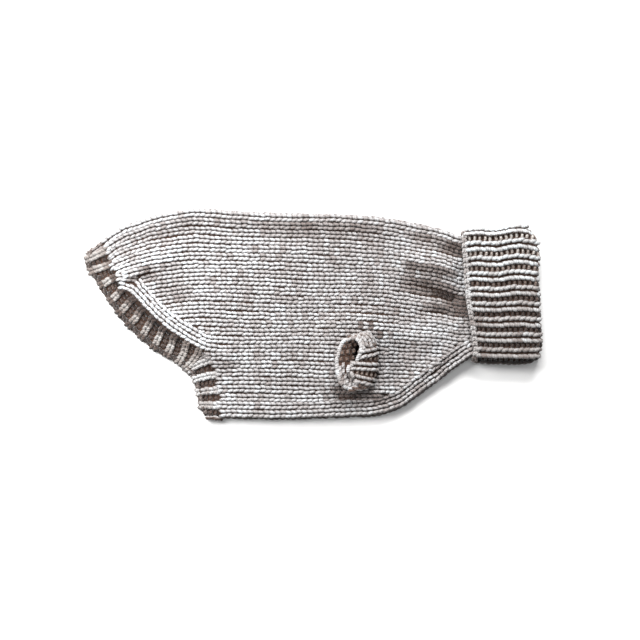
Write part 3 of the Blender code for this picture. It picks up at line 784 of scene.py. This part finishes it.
def stitch_is_kept(number, x, y):
    """Whether a column's stitch lies on the cloth, outside the leg opening and short of the columns
    that cross its own."""
    rear_end_x = np.interp(-y, -rear_curve_y, rear_curve_x)
    keep = (x > rear_end_x + 1.0) & (x < free_edge_x(y) + 5.0)
    reach_y = np.where(y > LEG_Y, LEG_BACK_END, LEG_HALF_WIDTH) + 0.3
    keep &= ((x - LEG_X) / (LEG_HALF_LENGTH + 0.3)) ** 2 + ((y - LEG_Y) / reach_y) ** 2 > 1
    if number < FIRST_CHEST_COLUMN:
        keep &= y > column_y(FIRST_CHEST_COLUMN, x) + COLUMN_ROOM * WALE
    if number < min(HEM_COLUMNS):
        above_hem = y > column_y(min(HEM_COLUMNS), x) + COLUMN_ROOM * WALE
        keep &= (x > HEM_COLUMNS_PART_X) | above_hem
    if number in HEM_COLUMNS:
        keep &= x > HEM_GUIDE[0].x
    if number > max(HEM_COLUMNS):
        keep &= x > CROSSED_COLUMNS_END_X
    return keep


def painted_body_shading(number, x, y):
    """How light the wool is painted: painted light at the rump and on ridges, painted shade towards the
    neck, in creases, at the eyelets and along the belly fold.
    """
    rise = folds_rise(x, y)
    relief = 1 - CREASE_PAINTED_SHADE * smooth(-rise / 3.8) + RIDGE_PAINTED_LIGHT * smooth(rise / 3.4)
    tone = mix(RUMP_PAINTED_LIGHT, NECK_PAINTED_SHADE, smooth((x + 130.0) / 220.0)) * relief
    for eye in EYELETS:
        near = smooth((EYELET_RADIUS - np.hypot(x - eye.x, y - eye.y)) / 1.6)
        tone *= mix(1.0, EYELET_PAINTED_SHADE, near)
    return tone * (BELLY_FOLD_PAINTED_SHADE if number == LAST_COLUMN else 1)


def body_columns(side):
    """Rows of stitches for one side of the body. Counted from the dog's shoulder, each column's rows
    stand a little off its neighbours'."""
    rows = []
    x = np.arange(REAR_END_X, FRONT_END_X, 0.5)
    for number in range(LAST_COLUMN + 1) if side > 0 else range(1, LAST_COLUMN):
        sway = 0.45 * np.sin(x / 19 + 0.5 * number) * (0 < number < FIRST_CHEST_COLUMN)
        y = column_y(number, x) + sway
        path = np.stack([x, y, skin_z(x, y, side)], axis=-1)
        run = run_along(path)
        run -= np.interp(SHOULDER_X, x, run) + 0.9 * math.sin(2.4 * number)
        at = np.arange(math.ceil(run[0] / COURSE), math.floor(run[-1] / COURSE)) * COURSE
        places, ahead = (
            np.stack([np.interp(reached, run, line) for line in path.T], axis=-1)
            for reached in (at, at - 1.0)
        )
        along = unit(ahead - places)
        px, py = places[:, 0], places[:, 1]
        tilt_x, tilt_y = (
            (skin_z(px + dx, py + dy, side) - skin_z(px - dx, py - dy, side)) / (2 * TILT_STEP)
            for dx, dy in ((TILT_STEP, 0), (0, TILT_STEP))
        )
        out = unit(np.stack([-tilt_x, -tilt_y, np.ones_like(tilt_x)], axis=-1) * side)
        # Painted shade where the wool faces the belly, times the body's painted light and shade.
        tone = painted_belly_shade(out, 0.48) * painted_body_shading(number, px, py)
        sink, size = (SINK.under, (1, 1, 0.6)) if side < 0 else (SINK.upper, (1, 1, 1))
        if number == 0:
            sink, size = SINK.back_fold, (0.85, 1, 0.6)
        elif number == LAST_COLUMN:
            sink = SINK.belly_fold
        keep = stitch_is_kept(number, px, py)
        out = out[keep]
        rows.append((places[keep] - out * sink, along[keep], out, sized(len(out), *size), tone[keep]))
    return rows


body_stitch = yarn_piece("knit_stitch", vee_strands(WALE, COURSE))
plain_stitch = yarn_piece("knit_stitch_under", vee_strands(WALE, COURSE, steps=4, radius=1.5), sides=4)
body_layers = [
    ("knit_upper", body_stitch, body_columns(1), body_wool, 5),
    ("knit_under", plain_stitch, body_columns(-1), body_wool, 6, 0.03),
]
dress(body, "body", "wool", body_layers, flat=(0.338, 0.30), held="laid", area=0.0785)

# ---- Collar ----
# A tube of one-and-one rib in the same wool, knitted on from the neck and folded back over itself.
# Its free edge has a plain chain and covers the neck seam.

COLLAR_RIBS, COLLAR_COURSE, COLLAR_ROUND = 19, 4.2, 231.0
FOLD_TURN = COLLAR_LAYER + SEAM / 2
COLLAR_MIDDLE_X = 150.0
FIRST_ROW, LAST_TURN = 3.0, math.radians(165)
COLLAR_BACK = [
    Edge(119, 66), Edge(125, 67.4), Edge(148, 67.6), Edge(160, 70.2),
    Edge(172, 69.6), Edge(184, 66),
]
COLLAR_BELLY = [
    Edge(119, -37.6), Edge(130, -38.4), Edge(160, -39.6), Edge(184, -39),
]
Across = namedtuple("Across", "share x")
COLLAR_FOLD_EDGE = [
    Across(0, 171), Across(0.05, 176.6), Across(0.10, 179.4), Across(0.20, 181.4),
    Across(0.33, 180.4), Across(0.50, 181.6), Across(0.70, 182.4),
    Across(0.92, 182.2), Across(0.965, 180.2), Across(1, 176.4),
]
# How far stitches stand off the ribbed wall, and how those that lie on the table are pressed.
KNIT_LIFT, PURL_LIFT, BACK_FOLD_LIFT = -0.3, -1.5, -0.9
TABLE_LIFT, TABLE_SQUASH = -1.5, 0.6


def collar_spot(around, along, past, depth):
    """A point of the collar. around goes from the back fold over the upper side; along goes from the
    free edge to the folded end, past is a reach beyond it, and depth goes in from the outer face."""
    around, along, past, depth = np.broadcast_arrays(around, along, past, depth)
    turned = around % 1.0
    half = np.where(turned <= 0.5, turned * 2, (1 - turned) * 2)
    radius = COLLAR_HEIGHT / 2
    back, belly = line_y(COLLAR_BACK, COLLAR_MIDDLE_X), line_y(COLLAR_BELLY, COLLAR_MIDDLE_X)
    width = back - belly
    length = np.minimum(half, 1 - half) * (width - 2 * radius + math.pi * radius)
    turn = np.minimum(length / radius, math.pi / 2)
    flat = np.maximum(length - radius * math.pi / 2, 0)
    inset = radius - (radius - depth) * np.cos(turn) + flat
    share = np.clip(np.where(half > 0.5, 1 - inset / width, inset / width), 0, 1)
    fold_x = read_off(COLLAR_FOLD_EDGE, "share", "x", share) - FOLD_TURN - 0.7
    x = mix(free_edge_x(mix(back, belly, share)), fold_x, along) + past
    y = mix(line_y(COLLAR_BACK, x), line_y(COLLAR_BELLY, x), share)
    z = radius + (radius - depth) * np.sin(turn) * np.where(turned <= 0.5, 1, -1)
    return np.stack([x, y, z], axis=-1)


def collar_reach(around):
    """Length of the outer layer from the free edge to the folded end."""
    ends = collar_spot(around, np.array([0.0, 1.0]), 0.0, 0.0)
    return ends[1, 0] - ends[0, 0]


def collar_at(around, run, lift, layer):
    """A point so far along the wool from the free edge, over the folded end; layer is the outer layer's
    length and lift goes out from its face."""
    turn = np.clip((run - layer) / FOLD_TURN, 0, math.pi)
    inner = np.maximum(run - layer - FOLD_TURN * math.pi, 0) / layer
    along = np.where(run <= layer, run / layer, 1 - inner)
    past = (FOLD_TURN + lift) * np.sin(turn)
    depth = np.where(turn > 0, FOLD_TURN - (FOLD_TURN + lift) * np.cos(turn), -lift)
    return collar_spot(around, along, past, depth)


def rib_level(share_of_rib):
    """1 on a rib's ridge and 0 in the furrows on both sides of it."""
    return smooth((0.45 - np.abs(share_of_rib % 1 - 0.5)) / 0.13)


def frames(surface, a, b, step_a, step_b):
    """Points, ways along b and ways out of a surface(a, b, lift), by small steps on it."""
    here = surface(a, b, 0.0)
    over = surface(a + step_a, b, 0.0) - surface(a - step_a, b, 0.0)
    along = surface(a, b + step_b, 0.0) - here
    rise = surface(a, b, 0.4) - here
    out = unit(np.cross(over, along))
    out = out * np.sign((out * rise).sum(axis=-1, keepdims=True) + 1e-12)
    return here, unit(along), out


def settle(here, out, lift, size):
    """Lift stitches out of the wall, and press those that lie on the table flat."""
    under = (out[:, 2] < -0.3) & (here[:, 2] < 4.0)
    off = np.where(under, TABLE_LIFT, lift)
    sizes = sized(len(here), *size)
    sizes[under, 2] = TABLE_SQUASH
    return here + out * off[:, None], sizes


# The wall, a ring for each eighth of a rib: the outer layer, the fold, the inner layer to the neck
# seam and back, each point (along, past, depth).
collar_rings = []
for around in np.linspace(0, 1, COLLAR_RIBS * 8, endpoint=False):
    sunk = 2.0 - 1.0 * rib_level(around * COLLAR_RIBS)
    ring = [(0.0, 0.0, 2.6), (0.0, 0.7, sunk)]
    ring += [(along, 0.0, sunk) for along in (0.12, 0.3, 0.5, 0.7, 0.88, 1.0)]
    radius = FOLD_TURN - sunk
    for turn in np.radians((25, 50, 75, 100, 125, 150)):
        ring.append((1.0, radius * math.sin(turn), FOLD_TURN - radius * math.cos(turn)))
    face, back = 2 * FOLD_TURN - sunk, COLLAR_LAYER + SEAM
    seam = COLLAR_OVERLAP + SEAM
    ring += [(1.0, 0.0, face), (0.5, 0.0, face), (0.0, seam, face)]
    ring += [(0.0, seam, back), (0.5, 0.0, back), (0.98, 0.0, back), (1.0, 0.0, FOLD_TURN)]
    ring += [(0.98, 0.0, COLLAR_LAYER), (0.5, 0.0, COLLAR_LAYER), (0.0, 0.0, COLLAR_LAYER - 0.2)]
    collar_rings.append(collar_spot(around, *np.array(ring).T))
collar = grid_mesh("collar_cloth", collar_rings, joined=True)
rib_backing = backing("rib_backing", (0.062, 0.035, 0.025), (0.035, 0.019, 0.013))
clad(collar, rib_backing)

rib_strands = vee_strands(9.4, COLLAR_COURSE, radius=1.75, narrow=0.19, wide=0.35)
rib_stitch = yarn_piece("rib_stitch", rib_strands)
purl_bump = yarn_piece("purl_bump", bar_strands(4.4, 1.4), sides=5)
chain_strands = vee_strands(4.8, COLLAR_COURSE, radius=1.4, narrow=0.06, wide=0.38)
chain_stitch = yarn_piece("chain_stitch", chain_strands)

# Ribs and furrows, row by row over the fold. The column on the back fold is knit and narrow. The wool
# has painted light towards the back, most of all in the furrows, and painted shade at the belly fold.
knit_rows, purl_rows = [], []
around_step = 0.002
for i in range(COLLAR_RIBS):
    for half in (0.5, 0.0):
        on_back_fold, is_knit = i + half == 0, half > 0 or i == 0
        around = (i + half) / COLLAR_RIBS
        layer = collar_reach(around)
        start = FIRST_ROW if half else FIRST_ROW + COLLAR_COURSE / 2
        run = np.arange(start, layer + FOLD_TURN * LAST_TURN, COLLAR_COURSE)

        def wool_line(around, run, lift, layer=layer):
            return collar_at(around, run, lift, layer)

        here, along, out = frames(wool_line, np.full_like(run, around), run, around_step, 0.4)
        lift = BACK_FOLD_LIFT if on_back_fold else KNIT_LIFT if is_knit else PURL_LIFT
        lifts = mix(lift, -2.3 if i == 0 else -1.0, smooth((run - layer + 2.0) / 5.0))
        here, sizes = settle(here, out, lifts, (0.5, 1, 0.7) if on_back_fold else (1, 1, 1))
        from_belly = here[:, 1] + 38.0
        high = smooth(from_belly / 104.0)
        # Painted shade at the belly fold and where the wool faces the belly; painted light towards the
        # back.
        tone = mix(0.55, 1.0, smooth(from_belly / 12.0)) * painted_belly_shade(out, 0.66)
        tone = tone * (0.92 + 0.55 * high**2 if is_knit else 0.14 + 1.5 * high**4)
        (knit_rows if is_knit else purl_rows).append((here, along, out, sizes, tone))

edge_around = np.arange(0, 1, COLLAR_COURSE / COLLAR_ROUND)
edge_layer = np.array([collar_reach(around) for around in edge_around])
here = collar_at(edge_around, 0.9, -0.7, edge_layer)
ahead = collar_at(edge_around + around_step, 0.9, -0.7, edge_layer)
lifted = collar_at(edge_around, 0.9, 0.3, edge_layer)
chain_out = unit(unit(lifted - here) + np.array((-0.45, 0.0, 0.0)))
here, sizes = settle(here, chain_out, 0.0, (1, 1, 1))
# The chain gets painted shade where it faces the belly, and a little all round.
chain_row = (here, unit(ahead - here), chain_out, sizes, painted_belly_shade(chain_out, 0.5) * 0.85)

rib_wool = wool("rib_wool", (0.372, 0.370, 0.372), (0.06, 0.034, 0.025))
# The furrows' wool is the same yarn painted darker: painted shade in the furrows.
furrow_wool = wool("furrow_wool", (0.30, 0.26, 0.235), (0.06, 0.035, 0.026))
collar_layers = [
    ("knit", rib_stitch, knit_rows, rib_wool, 11),
    ("purl", purl_bump, purl_rows, furrow_wool, 12),
    ("chain", chain_stitch, [chain_row], rib_wool, 13),
]
collar_cut = (0.231, 0.118)
dress(collar, "collar", "wool_rib", collar_layers, flat=collar_cut, held="folded", rests_on=[body])

# ---- Tail hem and belly band ----
# Rib knitted on along the rear end: one band round the rump, one across the belly. Both are cast off
# in a chain that curls a little under.

RUMP_RIBS, BELLY_RIBS = 23, 9
BAND_START = -0.045
BAND_COURSE = 3.9
SEAM_DROP, RIM_DROP = 1.5, 2.1


def make_band(name, fold, ribs, reach, seed, flat, rope_wool, plain_fold):
    """A band over one fold of the tube. reach is its length from the fold to either end, and plain_fold
    has its middle columns knitted plain, in the body's wool with some painted shade, paler than the
    rest."""

    def place(length, w, lift):
        slack = (BODY_HEIGHT - RIM_HEIGHT) / 2 * w * (math.pi / 2 - 1)
        spot = tube(w, np.full_like(w, fold), length * (1 + slack / reach), -lift)
        spot[..., 2] -= mix(SEAM_DROP, RIM_DROP, smooth(-w)) * smooth(spot[..., 2] - RIM_HEIGHT / 2)
        return spot

    sections = []
    for share in np.linspace(0, 1, ribs * 8 + 1):
        sunk = 1.8 - 0.8 * rib_level(share * ribs)
        w = np.array([BAND_START, -0.3, -0.55, -0.78, -0.93, -0.97, -0.97, -0.9, -0.5, BAND_START])
        lift = -np.array([sunk] * 5 + [sunk + 0.2, 2.2, 2.4, 2.4, 2.4])
        sections.append(place(np.full_like(w, mix(reach, -reach, share)), w, lift))
    cloth = grid_mesh(name + "_cloth", sections, caps=True)
    clad(cloth, rib_backing)

    hem_strands = vee_strands(7.9, BAND_COURSE, radius=1.7, narrow=0.10, wide=0.27)
    hem_stitch = yarn_piece(name + "_stitch", hem_strands)
    knit, purl, plain = [], [], []
    rows_w = np.linspace(0.02, -1, 30)
    for i in range(ribs * 2 + 1):
        length = mix(reach, -reach, i / (2 * ribs))
        run = run_along(place(np.full(30, length), rows_w, 0.0))
        count = max(round(run[-1] / BAND_COURSE), 2)
        w = np.interp((np.arange(count) + 0.5) / count * (run[-1] - 1.0), run, rows_w)
        here, along, out = frames(place, np.full_like(w, length), w, 0.6, -0.02)
        is_plain = i in (0, 2 * ribs) or plain_fold and abs(i - ribs) <= 1
        is_knit = i % 2 == 1
        lift = -1.2 if is_plain else -0.3 if is_knit else -1.4
        width = 0.8 if is_plain else 1
        here, sizes = settle(here, out, lift, (width, run[-1] / count / BAND_COURSE, width))
        # Between the fold and the flank the ribs get painted shade: dark at the seam, under the body's
        # ridge, and at the rim.
        off_fold = abs(i - ribs) / ribs
        painted_shadow_share = plain_fold * smooth(off_fold / 0.3) * smooth((1 - off_fold) / 0.3)
        shaded = 0.17 + 0.95 * smooth((-w - 0.07) / 0.34) * smooth((w + 0.92) / 0.42)
        # Painted shade: purl furrows much darker, plain columns on the fold a little darker.
        painted_shade_factor = 0.62 if is_plain and plain_fold else 1.0 if is_knit or is_plain else 0.2
        tone = painted_belly_shade(out, 0.3) * painted_shade_factor * mix(1.0, shaded, painted_shadow_share)
        (plain if is_plain else knit if is_knit else purl).append((here, along, out, sizes, tone))

    around = np.arange(reach - 1.5, -reach + 1.0, -BAND_COURSE)
    rim = np.full_like(around, -0.98)
    here, _, out = frames(place, around, rim, 0.6, -0.015)
    ahead = place(around - 0.6, rim, 0.0)
    outward = unit(here - place(around, rim + 0.06, 0.0))
    chain_out = unit(out + outward * 1.1)
    moved, sizes = settle(here - outward * 1.3, chain_out, -1.5, (1, 1, 1))
    # Painted shade on the rim chain, on the tail hem lighter near the fold.
    tone = np.full(len(around), 0.42)
    if plain_fold:
        tone = mix(0.8, 0.18, smooth((np.abs(around) - 8.0) / 8.0))
    chain_row = (moved, unit(ahead - here), chain_out, sizes, tone)
    layers = [
        ("knit", hem_stitch, knit, rope_wool, seed),
        ("purl", purl_bump, purl, furrow_wool, seed + 1),
        ("chain", chain_stitch, [chain_row], rope_wool, seed + 2),
        ("plain", body_stitch, plain, body_wool, seed + 3),
    ]
    dress(cloth, name, "wool_rib", layers, flat=flat, held="laid")


rear_width = width_at(np.array(0.0), steps=24)
to_end = BODY_HEIGHT / 2 * (math.pi / 2 - 1) - SEAM / 2
flank_share = REAR_SHARES[FLANK_ROW]
rump_reach, belly_reach = rear_width * flank_share + to_end, rear_width * (1 - flank_share) + to_end
# The tail hem's wool is painted darker than the belly band's: painted shade beside the body's ridge.
hem_wool = wool("hem_wool", (0.27, 0.255, 0.245), (0.06, 0.036, 0.027))
rump_flat, belly_flat = (2 * rump_reach * MM, 0.019), (2 * belly_reach * MM, 0.017)
make_band("tail_hem", 1, RUMP_RIBS, rump_reach, 21, rump_flat, hem_wool, True)
make_band("belly_band", -1, BELLY_RIBS, belly_reach, 31, belly_flat, rib_wool, False)

# ---- Foreleg cuffs ----
# Two short rib tubes knitted on round the foreleg openings. The right one stands up and leans to the
# rear, its mouth half shut. The left one is folded flat between the body and the table.

CUFF_RIBS = 10
CUFF_COURSE = 3.9
Rim = namedtuple("Rim", "degrees x y rise")
RIGHT_CUFF_RIM = [
    Rim(0, 35.4, -36, 8.6), Rim(35, 38, -29.4, 9), Rim(65, 37.2, -22.6, 8.2),
    Rim(90, 32.6, -19.4, 6.4), Rim(112, 26.4, -21.2, 5.2), Rim(145, 21.4, -27.4, 4.6),
    Rim(180, 19.2, -37.6, 4.4), Rim(215, 19.8, -48, 4.8), Rim(245, 22.8, -55.6, 5.2),
    Rim(268, 28, -59, 5.6), Rim(290, 35, -57.4, 6.4), Rim(312, 31.6, -49.4, 7.4),
    Rim(332, 27.8, -43.6, 8), Rim(346, 31, -40, 8.4), Rim(360, 35.4, -36, 8.6),
]
# Where the ribs end in a curl, outside at the top and inside at the low end, the cloth shows rows of
# its purl side: the rows run between two parts of the way round, on one face of the wall.
Curl = namedtuple("Curl", "start end shares face")
CURLS = [
    Curl(0.11, 0.37, (0.06, 0.26, 0.46, 0.66, 0.84), 1),
    Curl(0.54, 0.85, (0.3, 0.5, 0.7, 0.86), -1),
]
RIM_STITCHES = 24


def body_top(x, y):
    return BODY_HEIGHT + upper_lift(x, y, PRESS_FADE + EDGE_FADE, BODY_HEIGHT - 2 * WALL_INNER)


def cuff_middle(part, share):
    """Middle of the right cuff's wall: part goes round it, share from its seam to its rim."""
    part, share = np.broadcast_arrays(part % 1.0, share)
    base_x, base_y = leg_oval(part * 2 * np.pi)
    rim_x, rim_y, rim_rise = (
        read_off(RIGHT_CUFF_RIM, "degrees", name, part * 360)
        for name in ("x", "y", "rise")
    )
    lean = np.where(share < 1, share * share * (2 - share), 1.0)
    x, y = mix(base_x, rim_x, lean), mix(base_y, rim_y, lean)
    ground = mix(body_top(base_x, base_y), body_top(x, y), lean)
    rise = rim_rise * (1 - np.maximum(1 - share, 0) ** 2.4)
    return np.stack([x, y, ground + 2 * SEAM + rise], axis=-1)


def cuff_at(part, share, lift):
    """A point off the middle of the cuff's wall, outside it where lift is above 0."""
    here = cuff_middle(part, share)
    over = cuff_middle(part + 0.004, share) - cuff_middle(part - 0.004, share)
    low, high = np.maximum(share - 0.03, 0.0), np.minimum(share + 0.03, 1.0)
    along = cuff_middle(part, high) - cuff_middle(part, low)
    out = unit(np.cross(over, along))
    return here + out * np.asarray(lift)[..., None]


def cuff_frames(part, share, step, face=1.0):
    """Points in the wall's middle, their ways to the rim and their ways out, or in for face -1."""
    middle = cuff_at(part, share, 0.0)
    ahead = cuff_at(part, share + step, 0.0)
    return middle, unit(ahead - middle), unit(cuff_at(part, share, face) - middle)


cuff_rings = []
parts = np.linspace(0, 1, CUFF_RIBS * 8, endpoint=False)
cuff_shares = (0.0, 0.12, 0.3, 0.5, 0.75, 0.98)
outer_lift, inner_lift = 0.1 + 0.6 * rib_level(parts * CUFF_RIBS), -0.9
for shares, lift in ((cuff_shares, outer_lift), (cuff_shares[::-1], inner_lift)):
    for share in shares:
        ring = cuff_at(parts, share, lift)
        if share == 0.0:
            ring[:, 2] = cuff_middle(parts, share)[:, 2]
        cuff_rings.append(ring)
cuff_right = grid_mesh("cuff_right_cloth", cuff_rings, joined=True)
clad(cuff_right, rib_backing)

knit_rows, purl_rows, mouth_rows, curl_rows = [], [], [], []
outer_curl, inner_curl = (0.12, 0.36), (0.54, 0.84)
for i in range(2 * CUFF_RIBS):
    part, is_knit = i / (2 * CUFF_RIBS), i % 2 == 1
    run = run_along(cuff_middle(part, np.linspace(0, 1, 25)))
    count = max(int(run[-1] / CUFF_COURSE), 2)
    share = np.interp((np.arange(count) + 0.5) / count * (run[-1] - 1.0), run, np.linspace(0, 1, 25))
    middle, along, outward = cuff_frames(part, share, 0.02)
    size = sized(count, 0.84, run[-1] / count / COLLAR_COURSE, 0.9)
    if not outer_curl[0] < part < outer_curl[1]:
        # Purl furrows are painted darker: painted shade.
        rows, lift, painted_shade_factor = (knit_rows, 0.9, 1.0) if is_knit else (purl_rows, 0.1, 0.65)
        rows.append((middle + outward * lift, along, outward, size, np.full(count, painted_shade_factor)))
    if not inner_curl[0] < part < inner_curl[1]:
        mouth_rows.append((middle - outward * 1.0, along, -outward, size))
for curl in CURLS:
    for number, share in enumerate(curl.shares):
        part = np.arange(curl.start + 0.02 * (number % 2), curl.end, 0.04)
        middle, along, outward = cuff_frames(part, share, 0.04, curl.face)
        size, tone = sized(len(part), 1.25, 1.2, 1.1), np.full(len(part), 0.9)
        curl_rows.append((middle + outward * 0.5, along, outward, size, tone))
rim_part = np.linspace(0, 1, RIM_STITCHES, endpoint=False)
here, ahead = cuff_at(rim_part, 0.98, 0.0), cuff_at(rim_part + 0.004, 0.98, 0.0)
rim_out = unit(unit(here - cuff_middle(rim_part, 0.9)) * 0.35 + np.array((0, 0, 1.0)))
rim_row = (here + rim_out * 0.3, unit(ahead - here), rim_out, sized(RIM_STITCHES, 1, 1, 1))

rim_stitch = yarn_piece("rim_stitch", roll_strands(6.2, 1.95), sides=8)
cuff_wool = wool("cuff_wool", (0.41, 0.41, 0.415), (0.09, 0.055, 0.041))
roll_wool = wool("roll_wool", (0.39, 0.39, 0.395), (0.10, 0.063, 0.048), bump=0.6)
# The wool inside the cuff's mouth is painted dark brown: painted shade inside the opening.
mouth_wool = wool("mouth_wool", (0.13, 0.085, 0.065), (0.05, 0.031, 0.023))
cuff_layers = [
    ("knit", rib_stitch, knit_rows, cuff_wool, 41),
    ("purl", purl_bump, purl_rows, furrow_wool, 42),
    ("mouth", purl_bump, mouth_rows, mouth_wool, 44),
    ("rim", rim_stitch, [rim_row], roll_wool, 43),
    ("curl", purl_bump, curl_rows, roll_wool, 45),
]
cuff_cut = (0.107, 0.021)
dress(cuff_right, "cuff_right", "wool_rib", cuff_layers, flat=cuff_cut, held="laid", rests_on=[body])

# The left cuff: a squashed tube between the body and the table, its mouth to the rear, and over its
# front end a hole up into the body. Its ribs run along x, on its upper and its lower face.
LEFT_TOP = POCKET_RISE - SEAM
LEFT_MIDDLE_X = LEG_X - LEFT_CUFF_REACH / 2
LEFT_HALF_X, LEFT_HALF_Y = LEG_HALF_LENGTH + LEFT_CUFF_REACH / 2, LEG_HALF_WIDTH
SQUARENESS = 0.7
LEFT_COURSE, LEFT_SIDE_ROOM = 4.0, 2.4


def squashed_oval(grow, z, rear_reach=0.0):
    turn = np.linspace(0, 2 * np.pi, 48, endpoint=False)
    x, y = (np.sign(part) * np.abs(part) ** SQUARENESS for part in (np.cos(turn), np.sin(turn)))
    x = (LEFT_HALF_X + grow) * x - rear_reach * smooth(-3 * np.cos(turn))
    return np.stack([LEFT_MIDDLE_X + x, LEG_Y + (LEFT_HALF_Y + grow) * y, np.full_like(x, z)], axis=-1)


left_edge = [(-1.0, 0.9), (0.2, 1.2), (0.6, 1.8)]
left_edge += [(grow, LEFT_TOP - z) for grow, z in left_edge[::-1]]
cuff_left = grid_mesh("cuff_left_cloth", [squashed_oval(grow, z) for grow, z in left_edge], caps=True)
cut_away(cuff_left, [squashed_oval(-0.9, z, rear_reach=8.0) for z in (2.0, LEFT_TOP - 2.0)])
cut_away(cuff_left, leg_hole(2.2, 9.0, 39))
clad(cuff_left, rib_backing)

knit_rows, purl_rows = [], []
rib_reach = LEFT_HALF_Y - LEFT_SIDE_ROOM
for number, across in enumerate(np.linspace(-rib_reach, rib_reach, CUFF_RIBS - 1)):
    inside = 1 - (abs(across) / LEFT_HALF_Y) ** (2 / SQUARENESS)
    reach_x = LEFT_HALF_X * inside ** (SQUARENESS / 2) - 1.0
    for face in (1.0, -1.0):
        x = np.arange(LEFT_MIDDLE_X + reach_x - 2.0, LEFT_MIDDLE_X - reach_x, -LEFT_COURSE)
        if face > 0:
            x = x[((x - LEG_X) / 10.0) ** 2 + (across / 23.0) ** 2 > 1]
        z = LEFT_TOP - 1.0 if face > 0 else 1.0
        here = np.stack([x, np.full_like(x, LEG_Y + across), np.full_like(x, z)], axis=-1)
        way, out = sized(len(x), -1.0, 0.0, 0.0), sized(len(x), 0.0, 0.0, face)
        (knit_rows if number % 2 else purl_rows).append((here, way, out, sized(len(x), 0.66, 0.95, 0.4)))
left_layers = [
    ("knit", rib_stitch, knit_rows, cuff_wool, 51),
    ("purl", purl_bump, purl_rows, furrow_wool, 52),
]
dress(cuff_left, "cuff_left", "wool_rib", left_layers, flat=cuff_cut, held="folded")
